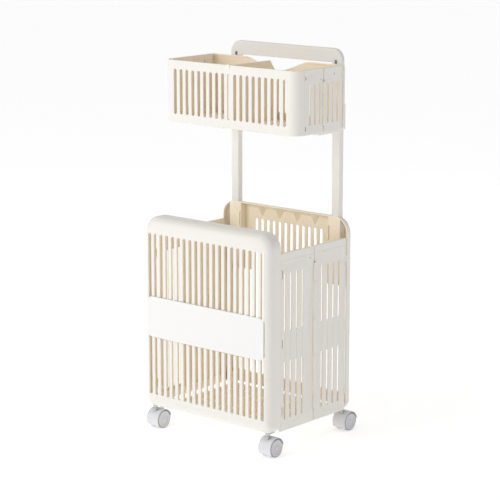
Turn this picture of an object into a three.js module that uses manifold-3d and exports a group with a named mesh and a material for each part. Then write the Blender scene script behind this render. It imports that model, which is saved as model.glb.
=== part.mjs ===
// A two-tier laundry sorter on wheels, in millimetres, +Z up, front towards -Y.
// The origin is on the floor under the middle of the outline. The lower basket folds
// flat: its floor tips up into the rear panel, its side leaves fold inwards on
// pinned hinges, and the front panel rolls back. The upper basket hangs on two posts.
import * as THREE from "three";
import { mergeVertices } from "three/addons/utils/BufferGeometryUtils.js";
import Module from "manifold-3d";

const wasm = await Module();
wasm.setup();

// ---- Driving dimensions ------------------------------------------------------------

const GAP = 0.3; // clearance between neighbours that touch
const WALL = 3;
const PITCH = 19.8; // from one slot to the next on the front and rear panels
const SLOT_WIDTH = 9.5;
const RIM_STEPS = 2; // curve steps round each corner of a panel, four segments
const SLOT_STEPS = 1; // curve steps round each end of a slot, two segments

const LOWER = {
  width: 420, front: -177, back: 153, bottom: 62, top: 564, sideTop: 513,
  frontDepth: 44.5, rearDepth: 23, cornerTop: 40, cornerBottom: 20, fillet: 20,
  slotBottom: 97, slotTop: 521, slots: 20,
};
const UPPER = {
  width: 438, front: -85, back: 105, bottom: 795, top: 954, corner: 26,
  frontDepth: 27, rearDepth: 8, slotBottom: 817, slotTop: 932, slots: 19, pitch: 20,
};
const LEAF = { thick: 8, skin: 3, frame: 8.5, margin: 6, knuckle: 4, pin: 1.8, bore: 2.3 };
const POST = { x: 168.5, y: 140.5, width: 25, depth: 17, wall: 2, bottom: 405, top: 934 };
const HANDLE = { halfWidth: 184, bottom: 953, top: 989, thick: 12, corner: 30, leg: 31 };
const LABEL = { width: 388, bottom: 250, top: 357, corner: 14, thick: 2 };
const FLOOR = { halfWidth: 177, low: 55.5, high: 61.5, front: -131.5, axisY: 140, axisZ: 58.5 };
const CASTER = {
  x: 190.5, front: -158.5, rear: 140, trail: 13, wheel: 24, halfWidth: 19.5, web: 6,
  hoodInner: 24.9, hoodOuter: 26.9, stem: 5.5, kingpin: 3,
};

// ---- Colours -----------------------------------------------------------------------

const ivory = new THREE.MeshStandardMaterial({ color: 0xf4f0e8, roughness: 0.45 });
const plate = new THREE.MeshStandardMaterial({ color: 0xf7f6f3, roughness: 0.35 });
const steel = new THREE.MeshStandardMaterial({ color: 0xb9bbbd, roughness: 0.3, metalness: 1 });
const darkSteel = new THREE.MeshStandardMaterial({ color: 0x6f7174, roughness: 0.4, metalness: 1 });
const hoodGrey = new THREE.MeshStandardMaterial({ color: 0xe4e4e6, roughness: 0.4 });
const wheelGrey = new THREE.MeshStandardMaterial({ color: 0xb8b8ba, roughness: 0.6 });

// ---- Solids ------------------------------------------------------------------------

// A closed three.js geometry as a solid that can be joined and cut.
function solid(geometry) {
  const bare = geometry.index ? geometry.toNonIndexed() : geometry.clone();
  bare.deleteAttribute("normal");
  bare.deleteAttribute("uv");
  const merged = mergeVertices(bare, 1e-4);
  return new wasm.Manifold(new wasm.Mesh({
    numProp: 3,
    vertProperties: merged.attributes.position.array,
    triVerts: new Uint32Array(merged.index.array),
  }));
}

function box(x0, x1, y0, y1, z0, z1) {
  const shape = new THREE.BoxGeometry(x1 - x0, y1 - y0, z1 - z0);
  return solid(shape.translate((x0 + x1) / 2, (y0 + y1) / 2, (z0 + z1) / 2));
}

function upright(x, y, z0, z1, radius, steps = 8) {
  const rod = new THREE.CylinderGeometry(radius, radius, z1 - z0, steps);
  return solid(rod.rotateX(Math.PI / 2).translate(x, y, (z0 + z1) / 2));
}

function crossways(y, z, x0, x1, radius, steps = 10) {
  const rod = new THREE.CylinderGeometry(radius, radius, x1 - x0, steps);
  return solid(rod.rotateZ(Math.PI / 2).translate((x0 + x1) / 2, y, z));
}

// A rounded rectangle with its own radius at the top and bottom corners.
function roundedShape(x0, x1, z0, z1, top, bottom = top) {
  const shape = new THREE.Shape();
  shape.moveTo(x0 + bottom, z0).lineTo(x1 - bottom, z0);
  shape.absarc(x1 - bottom, z0 + bottom, bottom, -Math.PI / 2, 0);
  shape.absarc(x1 - top, z1 - top, top, 0, Math.PI / 2);
  shape.absarc(x0 + top, z1 - top, top, Math.PI / 2, Math.PI);
  shape.absarc(x0 + bottom, z0 + bottom, bottom, Math.PI, 1.5 * Math.PI);
  return shape;
}

// An outline drawn in X and Z, made solid from y0 to y1.
function slabXZ(shape, y0, y1, steps = 3) {
  const body = new THREE.ExtrudeGeometry(shape, {
    depth: y1 - y0, bevelEnabled: false, curveSegments: steps,
  });
  return solid(body.rotateX(Math.PI / 2).translate(0, y1, 0));
}

// An outline drawn in X and Y, made solid from z0 to z1.
function slabXY(shape, z0, z1, steps = 3) {
  const body = new THREE.ExtrudeGeometry(shape, {
    depth: z1 - z0, bevelEnabled: false, curveSegments: steps,
  });
  return solid(body.translate(0, 0, z0));
}

// An outline drawn in Y and Z, made solid from x0 to x1.
const YZ_TO_X = new THREE.Matrix4().makeBasis(
  new THREE.Vector3(0, 1, 0), new THREE.Vector3(0, 0, 1), new THREE.Vector3(1, 0, 0));

function slabYZ(shape, x0, x1, steps = 3) {
  const body = new THREE.ExtrudeGeometry(shape, {
    depth: x1 - x0, bevelEnabled: false, curveSegments: steps,
  });
  return solid(body.applyMatrix4(YZ_TO_X).translate(x0, 0, 0));
}

const joined = (solids) => solids.reduce((all, one) => all.add(one));
const cut = (body, tools) => tools.reduce((left, tool) => left.subtract(tool), body);

// A panel shaped like a shallow tray: a rounded outline whose closed face has a soft
// edge of radius `fillet`. It is built as rings of growing inset towards that face.
function softBlock({ x0, x1, z0, z1, top, bottom, face, open, fillet, steps = 3 }) {
  const inwards = Math.sign(open - face);
  const levels = [];
  for (let i = 0; i <= steps; i += 1) {
    const angle = (i / steps) * (Math.PI / 2);
    const inset = fillet * (1 - Math.sin(angle));
    levels.push({ y: face + inwards * fillet * (1 - Math.cos(angle)), inset });
  }
  levels.push({ y: open, inset: 0 });
  const outline = (inset) => {
    const soft = (radius) => Math.max(radius - inset, 1);
    const shape = roundedShape(x0 + inset, x1 - inset, z0 + inset, z1 - inset, soft(top), soft(bottom));
    const points = shape.getPoints(RIM_STEPS);
    return points.filter((point, i) => i === 0 || point.distanceTo(points[i - 1]) > 1e-6);
  };
  const rings = levels.map(({ y, inset }) => outline(inset).map((p) => [p.x, y, p.y]));
  const count = rings[0].length - 1;
  const positions = rings.flatMap((ring) => ring.slice(0, count).flat());
  const index = [];
  for (let level = 0; level < rings.length - 1; level += 1) {
    for (let i = 0; i < count; i += 1) {
      const a = level * count + i;
      const b = level * count + ((i + 1) % count);
      index.push(a, b, b + count, a, b + count, a + count);
    }
  }
  const last = (rings.length - 1) * count;
  for (let i = 1; i < count - 1; i += 1) {
    index.push(0, i + 1, i, last, last + i, last + i + 1);
  }
  if (inwards > 0) index.reverse();
  const body = new THREE.BufferGeometry();
  body.setAttribute("position", new THREE.Float32BufferAttribute(positions, 3));
  body.setIndex(index);
  return solid(body);
}

// The tray itself: the block less a copy that is one wall smaller.
function tray(block) {
  const inwards = Math.sign(block.open - block.face);
  const hollow = softBlock({
    ...block,
    x0: block.x0 + WALL, x1: block.x1 - WALL, z0: block.z0 + WALL, z1: block.z1 - WALL,
    top: block.top - WALL, bottom: block.bottom - WALL, fillet: Math.max(block.fillet - WALL, 1),
    face: block.face + inwards * WALL, open: block.open + inwards,
  });
  return softBlock(block).subtract(hollow);
}

// The outline of a slot with full-round ends, from low to high about its middle line.
function slotShape(middle, low, high, width) {
  const radius = width / 2;
  const shape = new THREE.Shape();
  shape.absarc(middle, high - radius, radius, 0, Math.PI);
  shape.absarc(middle, low + radius, radius, Math.PI, 2 * Math.PI);
  return shape;
}

const slotsXZ = (middles, z0, z1, y0, y1, width = SLOT_WIDTH) =>
  middles.map((x) => slabXZ(slotShape(x, z0, z1, width), y0, y1, SLOT_STEPS));

const slotsYZ = (middles, z0, z1, x0, x1, width) =>
  middles.map((y) => slabYZ(slotShape(y, z0, z1, width), x0, x1, SLOT_STEPS));

const slotsXY = (middles, y0, y1, z0, z1, width) =>
  middles.map((x) => slabXY(slotShape(x, y0, y1, width), z0, z1, SLOT_STEPS));

const spread = (count, pitch) =>
  Array.from({ length: count }, (unused, i) => (i - (count - 1) / 2) * pitch);

// ---- The assembly ------------------------------------------------------------------

const sorter = new THREE.Group();

function addPart(name, body, material) {
  const mesh = body.getMesh();
  const geometry = new THREE.BufferGeometry();
  geometry.setAttribute("position", new THREE.BufferAttribute(mesh.vertProperties, 3));
  geometry.setIndex(new THREE.BufferAttribute(mesh.triVerts, 1));
  geometry.computeVertexNormals();
  const part = new THREE.Mesh(geometry, material);
  part.name = name;
  sorter.add(part);
  return part;
}

const SIDES = [["left", -1], ["right", 1]];

// ---- Folding sides -----------------------------------------------------------------

// A side wall is two leaves. Seen from above, `outer` is the plane of its outer face,
// the corner pins stand on the leaf's middle plane, and the middle pin on its outer face.
function sideOf(basket) {
  const outer = basket.width / 2 - 1;
  const frontEdge = basket.front + basket.frontDepth;
  const rearEdge = basket.back - basket.rearDepth;
  const frontPin = frontEdge + 5.5;
  const rearPin = rearEdge - 5;
  return {
    outer, frontEdge, rearEdge, frontPin, rearPin,
    middle: (frontPin + rearPin) / 2,
    cornerX: outer - LEAF.thick / 2,
    middleX: outer + 1,
  };
}

// The heights of one hinge's knuckles, taken in turn by the two pieces it joins.
function knuckleSpans(seams) {
  return seams.slice(1).map((top, i) => ({ z0: seams[i] + GAP, z1: top - GAP, turn: i % 2 }));
}

// A leaf, drawn on the right-hand side (+X): a skin with a frame round its inner face,
// a rounded nose at the corner pin and knuckles at the middle pin. `towards` is the
// direction along Y from its corner pin to the middle pin.
function leaf({ side, basket, towards, seams, ears, rows, slots, slotWidth }) {
  const { outer, cornerX, middleX, middle } = side;
  const inner = outer - LEAF.thick;
  const pinY = towards > 0 ? side.frontPin : side.rearPin;
  const y0 = Math.min(pinY, middle - towards);
  const y1 = Math.max(pinY, middle - towards);
  const top = basket.sideTop ?? basket.top;
  let body = box(inner, outer, y0, y1, basket.bottom, top)
    .add(upright(cornerX, pinY, basket.bottom, top, LEAF.thick / 2));
  const pocket = (z0, z1) =>
    box(inner - 1, outer - LEAF.skin, y0 + LEAF.frame, y1 - LEAF.frame, z0, z1);
  const tools = rows.flatMap(([z0, z1]) => [
    pocket(z0 - LEAF.margin, z1 + LEAF.margin),
    ...slotsYZ(slots, z0, z1, inner - 1, outer + 1, slotWidth),
  ]);
  if (rows.length > 1) {
    tools.push(pocket(rows[0][1] + 2 * LEAF.margin, rows[1][0] - 2 * LEAF.margin));
  }
  body = cut(body, tools);
  for (const { z0, z1, turn } of knuckleSpans(seams)) {
    const mine = (turn === 0) === (towards < 0);
    body = mine
      ? body.add(upright(middleX, middle, z0, z1, LEAF.knuckle))
      : body.subtract(upright(middleX, middle, z0 - 2 * GAP, z1 + 2 * GAP, LEAF.knuckle + 0.6));
  }
  return cut(body, [
    upright(middleX, middle, basket.bottom - 1, top + 1, LEAF.bore),
    upright(cornerX, pinY, basket.bottom - 1, top + 1, LEAF.bore),
    ...ears.map(([z0, z1]) => upright(cornerX, pinY, z0 - GAP, z1 + GAP, LEAF.knuckle + 1.3)),
  ]);
}

// Ears that a panel holds out to a corner pin, with the hole that grips the pin.
function cornerEars(side, pinY, edge, ears) {
  const reach = Math.sign(edge - pinY);
  return ears.map(([z0, z1]) => {
    const arm = box(side.cornerX - 2.5, side.cornerX + 3.5, Math.min(pinY, edge + reach * 6),
      Math.max(pinY, edge + reach * 6), z0, z1);
    return upright(side.cornerX, pinY, z0, z1, LEAF.knuckle - 0.2).add(arm);
  });
}

const pinHole = (side, pinY, z0, z1) => upright(side.cornerX, pinY, z0, z1, LEAF.pin + GAP);
const mirrored = (body, sign) => (sign > 0 ? body : body.mirror([1, 0, 0]));

// ---- Lower basket ------------------------------------------------------------------

const lower = sideOf(LOWER);
const LOWER_SEAMS = [94, 128, 233, 331, 426, 472];
const LOWER_EARS = [[104, 124], [276, 296], [450, 470]];
const LOWER_ROWS = [[91, 238], [314, 461]];
const LOWER_SLOTS = { front: [-115, -92.5, -70, -47.5], rear: [31.5, 54, 76.5, 99] };

const STEM_TOP = 85;

// A boss that grips a caster's stem, cut to the inside of the panel's outline.
const boss = (x, y, radius) => upright(x, y, LOWER.bottom, STEM_TOP + 5, radius);

const stemHole = (x, y) =>
  upright(x, y, LOWER.bottom - 10, STEM_TOP + 1, CASTER.stem + GAP, 16);

function frontPanel() {
  const half = LOWER.width / 2;
  const edge = lower.frontEdge;
  const block = {
    x0: -half, x1: half, z0: LOWER.bottom, z1: LOWER.top, top: LOWER.cornerTop,
    bottom: LOWER.cornerBottom, face: LOWER.front, open: edge, fillet: LOWER.fillet,
  };
  const outline = softBlock(block);
  let body = cut(tray(block), slotsXZ(spread(LOWER.slots, PITCH), LOWER.slotBottom,
    LOWER.slotTop, LOWER.front - 1, LOWER.front + 10));
  for (const [, sign] of SIDES) {
    const ears = cornerEars(lower, lower.frontPin, edge, LOWER_EARS);
    const grip = boss(sign * CASTER.x, CASTER.front, 11).intersect(outline);
    body = joined([body, grip, mirrored(joined(ears), sign)]);
    body = cut(body, [
      mirrored(pinHole(lower, lower.frontPin, 66, 500), sign),
      stemHole(sign * CASTER.x, CASTER.front),
    ]);
  }
  return body;
}

// An upside-down pyramid that stiffens the lip of the rear panel. Its foot is a point
// on the wall, and its ridge runs from there up to the lip's front edge.
const CORBEL = { halfWidth: 24, height: 36, foot: 0.02 };

function corbel(x) {
  const wallY = LOWER.back - WALL + 1;
  const shape = new THREE.Shape([
    new THREE.Vector2(-CORBEL.halfWidth, 0), new THREE.Vector2(CORBEL.halfWidth, 0),
    new THREE.Vector2(0, lower.rearEdge + 1 - wallY),
  ]);
  const pyramid = new THREE.ExtrudeGeometry(shape, { depth: CORBEL.height, bevelEnabled: false });
  const corners = pyramid.attributes.position;
  for (let i = 0; i < corners.count; i += 1) {
    const scale = corners.getZ(i) > 0 ? 1 : CORBEL.foot;
    corners.setXYZ(i, corners.getX(i) * scale, corners.getY(i) * scale, corners.getZ(i));
  }
  return solid(pyramid.translate(x, wallY, LOWER.top - 1 - CORBEL.height));
}

// The hook under the front panel that catches the floor's side edge.
function floorCatch(sign) {
  const edge = lower.frontEdge;
  const web = box(178.2, 182.2, edge - 17, edge + 14, 52, LOWER.bottom - GAP);
  const tongue = box(166, 182.2, edge + 1, edge + 14, 52, 55);
  return mirrored(joined([web, tongue]), sign);
}

// A box centred on the right-hand post's axis, grown from the post's own section.
function postBox(grow, z0, z1) {
  const halfX = POST.width / 2 + grow;
  const halfY = POST.depth / 2 + grow;
  return box(POST.x - halfX, POST.x + halfX, POST.y - halfY, POST.y + halfY, z0, z1);
}

function rearPanel() {
  const half = LOWER.width / 2;
  const edge = lower.rearEdge;
  const block = {
    x0: -half, x1: half, z0: LOWER.bottom, z1: LOWER.top, top: LOWER.cornerTop,
    bottom: LOWER.cornerBottom, face: LOWER.back, open: edge, fillet: 14,
  };
  const outline = softBlock(block);
  const sideSlots = spread(LOWER.slots, PITCH).filter((x) => Math.abs(x) > 6 * PITCH);
  const floorWay = box(-FLOOR.halfWidth - 2, FLOOR.halfWidth + 2, edge - 1, LOWER.back - WALL - 1,
    LOWER.bottom - 1, LOWER.bottom + WALL + 1);
  const cornerWay = box(-FLOOR.halfWidth - 2, FLOOR.halfWidth + 2, edge - 1, FLOOR.axisY + 6,
    LOWER.bottom - 1, LOWER.bottom + 12);
  let body = cut(tray(block), [floorWay, cornerWay,
    ...slotsXZ(spread(12, PITCH), LOWER.slotBottom, LOWER.slotTop, LOWER.back - 10, LOWER.back + 1),
    ...slotsXZ(sideSlots, LOWER.slotBottom, POST.bottom - 25, LOWER.back - 10, LOWER.back + 1)]);
  body = body.add(joined(spread(4, 3 * PITCH).map(corbel)).intersect(outline));
  for (const [, sign] of SIDES) {
    const socket = box(146, 186, edge, LOWER.back, POST.bottom - 9, LOWER.top);
    const hingeLug = box(178.2, 183, edge + 3, LOWER.back - WALL, 62, 78);
    const inside = joined([socket, hingeLug, boss(CASTER.x, CASTER.rear, 11)]).intersect(outline);
    const ears = cornerEars(lower, lower.rearPin, edge, LOWER_EARS);
    const lugTip = box(178.2, 182.2, edge + 3, LOWER.back - WALL, 52.5, 64);
    body = body.add(mirrored(joined([inside, ...ears, lugTip]).intersect(
      box(0, half, edge - 9, LOWER.back, 0, LOWER.top)), sign));
    body = cut(body, [
      mirrored(postBox(GAP, POST.bottom - GAP, LOWER.top + 1), sign),
      mirrored(box(149, 151.4, edge - 1, edge + 8, 500, 538), sign),
      mirrored(pinHole(lower, lower.rearPin, 66, 500), sign),
      stemHole(sign * CASTER.x, CASTER.rear),
    ]);
  }
  return body.subtract(crossways(FLOOR.axisY, FLOOR.axisZ, -190, 190, LEAF.pin + GAP));
}

function labelPlate() {
  const outline = roundedShape(-LABEL.width / 2, LABEL.width / 2, LABEL.bottom, LABEL.top, LABEL.corner);
  return slabXZ(outline, LOWER.front - GAP - LABEL.thick, LOWER.front - GAP);
}

// The floor: a slotted plate, rolled round its hinge rod along the rear edge.
function floorPanel() {
  const { halfWidth, low, high, front, axisY, axisZ } = FLOOR;
  const plateBody = box(-halfWidth, halfWidth, front, axisY, low, high)
    .add(crossways(axisY, axisZ, -halfWidth, halfWidth, (high - low) / 2));
  const drains = [-1, 1].flatMap((row) => {
    const middle = (front + axisY) / 2 + row * 62;
    return slotsXY(spread(8, 2 * PITCH), middle - 48, middle + 48, low - 1, high + 1, 8);
  });
  return cut(plateBody, [...drains,
    crossways(axisY, axisZ, -halfWidth - 1, halfWidth + 1, LEAF.pin + 2 * GAP, 12)]);
}

addPart("front_panel", frontPanel(), ivory);
addPart("label_plate", labelPlate(), plate);
for (const [hand, sign] of SIDES) addPart(`${hand}_floor_catch`, floorCatch(sign), ivory);
addPart("rear_panel", rearPanel(), ivory);
addPart("floor_panel", floorPanel(), ivory);
addPart("floor_hinge_rod", crossways(FLOOR.axisY, FLOOR.axisZ, -182, 182, LEAF.pin, 12), steel);

// Leaves and pins of one basket, with the basket's name in front of each.
function addSides(prefix, basket, side, { seams, ears, rows, slots, slotWidth }) {
  const top = basket.sideTop ?? basket.top;
  for (const [hand, sign] of SIDES) {
    const shared = { side, basket, seams, ears, rows, slotWidth };
    const frontLeaf = leaf({ ...shared, towards: 1, slots: slots.front });
    const rearLeaf = leaf({ ...shared, towards: -1, slots: slots.rear });
    addPart(`${prefix}_${hand}_front_leaf`, mirrored(frontLeaf, sign), ivory);
    addPart(`${prefix}_${hand}_rear_leaf`, mirrored(rearLeaf, sign), ivory);
    const pins = [
      ["middle", side.middleX, side.middle, seams[0] - 3, seams.at(-1) + 3],
      ["front", side.cornerX, side.frontPin, basket.bottom + 6, top - 14],
      ["rear", side.cornerX, side.rearPin, basket.bottom + 6, top - 14],
    ];
    for (const [place, x, y, z0, z1] of pins) {
      addPart(`${prefix}_${hand}_${place}_pin`, upright(sign * x, y, z0, z1, LEAF.pin), steel);
    }
  }
}

addSides("lower", LOWER, lower, {
  seams: LOWER_SEAMS, ears: LOWER_EARS, rows: LOWER_ROWS, slots: LOWER_SLOTS, slotWidth: 7,
});

// ---- Upper basket ------------------------------------------------------------------

const upper = sideOf(UPPER);
const UPPER_SEAMS = [812, 838, 864, 890, 922];
const UPPER_EARS = [[806, 816], [930, 938]];
const UPPER_FLOOR = { low: 797.3, high: 800.3 };
const LEDGE = { reach: 8, thick: 2, halfWidth: 12 };
const SCOOP = { halfWidth: 108, flat: 34, depth: 29 };

// The front panel is a wall that wraps round both front corners.
function upperFrontPanel() {
  const half = UPPER.width / 2;
  const plan = (inset) => roundedShape(-half + inset, half - inset, UPPER.front + inset,
    UPPER.back, 1, UPPER.corner - inset);
  const wall = slabXY(plan(0), UPPER.bottom, UPPER.top)
    .subtract(slabXY(plan(WALL), UPPER.bottom - 1, UPPER.top + 1))
    .intersect(box(-half, half, UPPER.front, upper.frontEdge, UPPER.bottom, UPPER.top));
  const inner = UPPER.front + WALL;
  const ledges = [-120, 0, 120].map((x) => box(x - LEDGE.halfWidth, x + LEDGE.halfWidth,
    inner - 1, inner + LEDGE.reach, UPPER.bottom, UPPER.bottom + LEDGE.thick));
  let body = cut(wall, slotsXZ(spread(UPPER.slots, UPPER.pitch), UPPER.slotBottom, UPPER.slotTop,
    UPPER.front - 1, inner + 1)).add(joined(ledges));
  for (const [, sign] of SIDES) {
    const ears = cornerEars(upper, upper.frontPin, upper.frontEdge, UPPER_EARS);
    body = body.add(mirrored(joined(ears), sign))
      .subtract(mirrored(pinHole(upper, upper.frontPin, 799, 942), sign));
  }
  return body;
}

// The rear panel is dished in the middle of its top edge, to reach over it.
function upperRearPanel() {
  const half = UPPER.width / 2;
  const edge = upper.rearEdge;
  const wall = tray({
    x0: -half, x1: half, z0: UPPER.bottom, z1: UPPER.top, top: 6, bottom: 6,
    face: UPPER.back, open: edge, fillet: 4,
  });
  const scoop = new THREE.Shape();
  scoop.moveTo(-SCOOP.halfWidth, UPPER.top + 1);
  scoop.lineTo(-SCOOP.halfWidth, UPPER.top);
  scoop.bezierCurveTo(-SCOOP.halfWidth * 0.75, UPPER.top, -SCOOP.flat * 1.6,
    UPPER.top - SCOOP.depth, 0, UPPER.top - SCOOP.depth);
  scoop.bezierCurveTo(SCOOP.flat * 1.6, UPPER.top - SCOOP.depth, SCOOP.halfWidth * 0.75,
    UPPER.top, SCOOP.halfWidth, UPPER.top);
  scoop.lineTo(SCOOP.halfWidth, UPPER.top + 1);
  let body = cut(wall, [slabXZ(scoop, edge - 1, UPPER.back + 1, 4),
    ...slotsXZ(spread(16, UPPER.pitch), UPPER.slotBottom, 905, UPPER.back - 6, UPPER.back + 1)]);
  const ledges = [-120, 0, 120].map((x) => box(x - LEDGE.halfWidth, x + LEDGE.halfWidth,
    edge - LEDGE.reach, edge + WALL, UPPER.bottom, UPPER.bottom + LEDGE.thick));
  body = body.add(joined(ledges));
  for (const [, sign] of SIDES) {
    const ears = cornerEars(upper, upper.rearPin, edge, UPPER_EARS);
    const inside = joined(ears).intersect(box(0, half, edge - 9.5, UPPER.back - 1, 0, UPPER.top));
    body = body.add(mirrored(inside, sign))
      .subtract(mirrored(pinHole(upper, upper.rearPin, 799, 942), sign));
  }
  return body;
}

function upperFloor() {
  const half = upper.outer - LEAF.thick - 2 * GAP;
  const front = UPPER.front + WALL + GAP;
  const plan = roundedShape(-half, half, front, upper.rearEdge - GAP, 1, UPPER.corner - WALL);
  const drains = [-1, 1].flatMap((row) => {
    const middle = (front + upper.rearEdge) / 2 + row * 42;
    return slotsXY(spread(8, 2 * UPPER.pitch), middle - 26, middle + 26,
      UPPER_FLOOR.low - 1, UPPER_FLOOR.high + 1, 8);
  });
  return cut(slabXY(plan, UPPER_FLOOR.low, UPPER_FLOOR.high), drains);
}

// The divider lifts straight out: it stands on the floor between two broad flanges and
// hooks over the front rim.
function divider() {
  const front = UPPER.front + WALL + GAP;
  const back = upper.rearEdge - 2 * GAP;
  const foot = UPPER_FLOOR.high + GAP;
  const crest = UPPER.top - 1;
  const rearTop = UPPER.top - SCOOP.depth - 2;
  const web = new THREE.Shape([
    new THREE.Vector2(front, foot), new THREE.Vector2(back, foot),
    new THREE.Vector2(back, rearTop), new THREE.Vector2(back - 22, crest),
    new THREE.Vector2(front, crest),
  ]);
  const rim = UPPER.top + GAP;
  return joined([
    slabYZ(web, -1.5, 1.5),
    box(-7, 7, front, front + 2, foot, crest),
    box(-7, 7, back - 2, back, foot, rearTop),
    box(-4, 4, front, front + 2, crest - 1, rim + 1.5),
    box(-4, 4, UPPER.front - GAP - 1.2, front + 2, rim, rim + 1.5),
    box(-4, 4, UPPER.front - GAP - 1.2, UPPER.front - GAP, UPPER.top - 8, rim + 1.5),
  ]);
}

addPart("upper_front_panel", upperFrontPanel(), ivory);
addPart("upper_rear_panel", upperRearPanel(), ivory);
addPart("upper_floor", upperFloor(), ivory);
addPart("divider", divider(), ivory);
addSides("upper", UPPER, upper, {
  seams: UPPER_SEAMS, ears: UPPER_EARS, rows: [[818, 919]],
  slots: { front: [-33, -14, 5], rear: [37, 55.5, 74] }, slotWidth: 6,
});

// ---- Posts, brackets and handle ----------------------------------------------------

const BRACKET = { wall: 3, bottom: 786, sleeveTop: 850, armTop: UPPER.bottom - GAP };
const TENON = { inset: 0.3, length: 30 };

function post() {
  return postBox(0, POST.bottom, POST.top)
    .subtract(postBox(-POST.wall, POST.bottom - 1, POST.top + 1));
}

// A bracket grips the post, stands behind the upper basket and reaches under its floor.
function bracket() {
  const behind = UPPER.back + GAP;
  const left = POST.x - POST.width / 2 - GAP - BRACKET.wall;
  const right = POST.x + POST.width / 2 + GAP + BRACKET.wall;
  const rear = POST.y + POST.depth / 2 + GAP + BRACKET.wall;
  const sleeve = box(left, right, behind, rear, BRACKET.bottom, BRACKET.sleeveTop);
  const arm = box(left - 4, 205, 20, behind + 4, BRACKET.bottom, BRACKET.armTop);
  const pocket = box(left + 4, right - 4, behind + 4, POST.y - POST.depth / 2 - GAP - BRACKET.wall,
    BRACKET.armTop, BRACKET.sleeveTop + 1);
  return cut(sleeve.add(arm), [postBox(GAP, BRACKET.bottom - 1, BRACKET.sleeveTop + 1), pocket]);
}

const CLIP = { x: 165, low: 951, high: 960, thick: 1.6, shank: 1.5, depth: 8 };

function handle() {
  const y0 = POST.y - HANDLE.thick / 2;
  const y1 = POST.y + HANDLE.thick / 2;
  const legBottom = POST.top + GAP;
  const board = slabXZ(roundedShape(-HANDLE.halfWidth, HANDLE.halfWidth, legBottom, HANDLE.top,
    HANDLE.corner, 2), y0, y1, 4);
  const inner = HANDLE.halfWidth - HANDLE.leg;
  const gap = slabXZ(roundedShape(-inner, inner, legBottom - 20, HANDLE.bottom, 8, 2), y0 - 1, y1 + 1);
  const tenons = SIDES.map(([, sign]) => mirrored(postBox(-POST.wall - TENON.inset,
    POST.top - TENON.length, legBottom + 1).intersect(box(0, 300, y0, y1, 0, 1000)), sign));
  const holes = SIDES.map(([, sign]) => new THREE.CylinderGeometry(
    CLIP.shank + GAP, CLIP.shank + GAP, CLIP.depth + 2, 12)
    .translate(sign * CLIP.x, y0 + CLIP.depth / 2, (CLIP.low + CLIP.high) / 2));
  return cut(board.subtract(gap).add(joined(tenons)), holes.map(solid));
}

function clip(sign) {
  const face = POST.y - HANDLE.thick / 2 - GAP;
  const shank = new THREE.CylinderGeometry(CLIP.shank, CLIP.shank, CLIP.depth, 12)
    .translate(sign * CLIP.x, face + CLIP.depth / 2 - 0.5, (CLIP.low + CLIP.high) / 2);
  const x0 = sign * CLIP.x - 3;
  return box(x0, x0 + 6, face - CLIP.thick, face, CLIP.low, CLIP.high).add(solid(shank));
}

addPart("handle_board", handle(), ivory);
for (const [hand, sign] of SIDES) {
  addPart(`${hand}_post`, mirrored(post(), sign), ivory);
  addPart(`${hand}_bracket`, mirrored(bracket(), sign), ivory);
  addPart(`${hand}_handle_clip`, clip(sign), darkSteel);
}

// ---- Casters -----------------------------------------------------------------------

const COLLAR = { radius: 7.8, low: 51.5, high: 54.5 };

function stem(x, y) {
  return joined([
    upright(x, y, COLLAR.high - 1, STEM_TOP, CASTER.stem, 16),
    upright(x, y, COLLAR.low, COLLAR.high, COLLAR.radius, 20),
    upright(x, y, 32, COLLAR.low + 1, CASTER.kingpin, 12),
  ]);
}

// The hood: a web between the wheels with the kingpin's bore, and a curved cover.
function hood(x, y) {
  const axleY = y + CASTER.trail;
  const from = THREE.MathUtils.degToRad(10);
  const to = THREE.MathUtils.degToRad(215);
  const cover = new THREE.Shape();
  cover.absarc(axleY, CASTER.wheel, CASTER.hoodOuter, from, to, false);
  cover.absarc(axleY, CASTER.wheel, CASTER.hoodInner, to, from, true);
  const web = new THREE.Shape();
  web.absarc(axleY, CASTER.wheel, CASTER.hoodOuter - 0.5, from, to, false);
  web.absarc(axleY, CASTER.wheel, 8, to, from + 2 * Math.PI, false);
  return cut(joined([
    slabYZ(cover, x - CASTER.halfWidth - 0.5, x + CASTER.halfWidth + 0.5, 4),
    slabYZ(web, x - CASTER.web, x + CASTER.web, 4),
  ]), [
    upright(x, y, 31, 60, CASTER.kingpin + GAP, 12),
    crossways(axleY, CASTER.wheel, x - 20, x + 20, 2.2 + GAP, 12),
  ]);
}

// One wheel, turned about its axle, with a closed outer face and a blind bore.
function wheel(x, y, sign) {
  const r = CASTER.wheel;
  const near = CASTER.web + 0.5;
  const far = CASTER.halfWidth;
  const profile = [
    [0, far], [r - 1.5, far], [r, far - 1.5], [r, near], [2.6, near], [2.6, far - 3], [0, far - 3],
  ].map(([radius, along]) => new THREE.Vector2(radius, along));
  const turned = solid(new THREE.LatheGeometry(profile.reverse(), 16).rotateZ(-Math.PI / 2));
  const body = turned.volume() < 0 ? turned.mirror([0, 1, 0]) : turned;
  return mirrored(body, sign).translate([x, y + CASTER.trail, r]);
}

for (const [row, y] of [["front", CASTER.front], ["rear", CASTER.rear]]) {
  for (const [hand, sign] of SIDES) {
    const x = sign * CASTER.x;
    const name = `${row}_${hand}_caster`;
    addPart(`${name}_stem`, stem(x, y), steel);
    addPart(`${name}_hood`, hood(x, y), hoodGrey);
    const axle = crossways(y + CASTER.trail, CASTER.wheel, x - 16, x + 16, 2.2, 12);
    addPart(`${name}_axle`, axle, steel);
    addPart(`${name}_left_wheel`, wheel(x, y, -1), wheelGrey);
    addPart(`${name}_right_wheel`, wheel(x, y, 1), wheelGrey);
  }
}

export default sorter;
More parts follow.
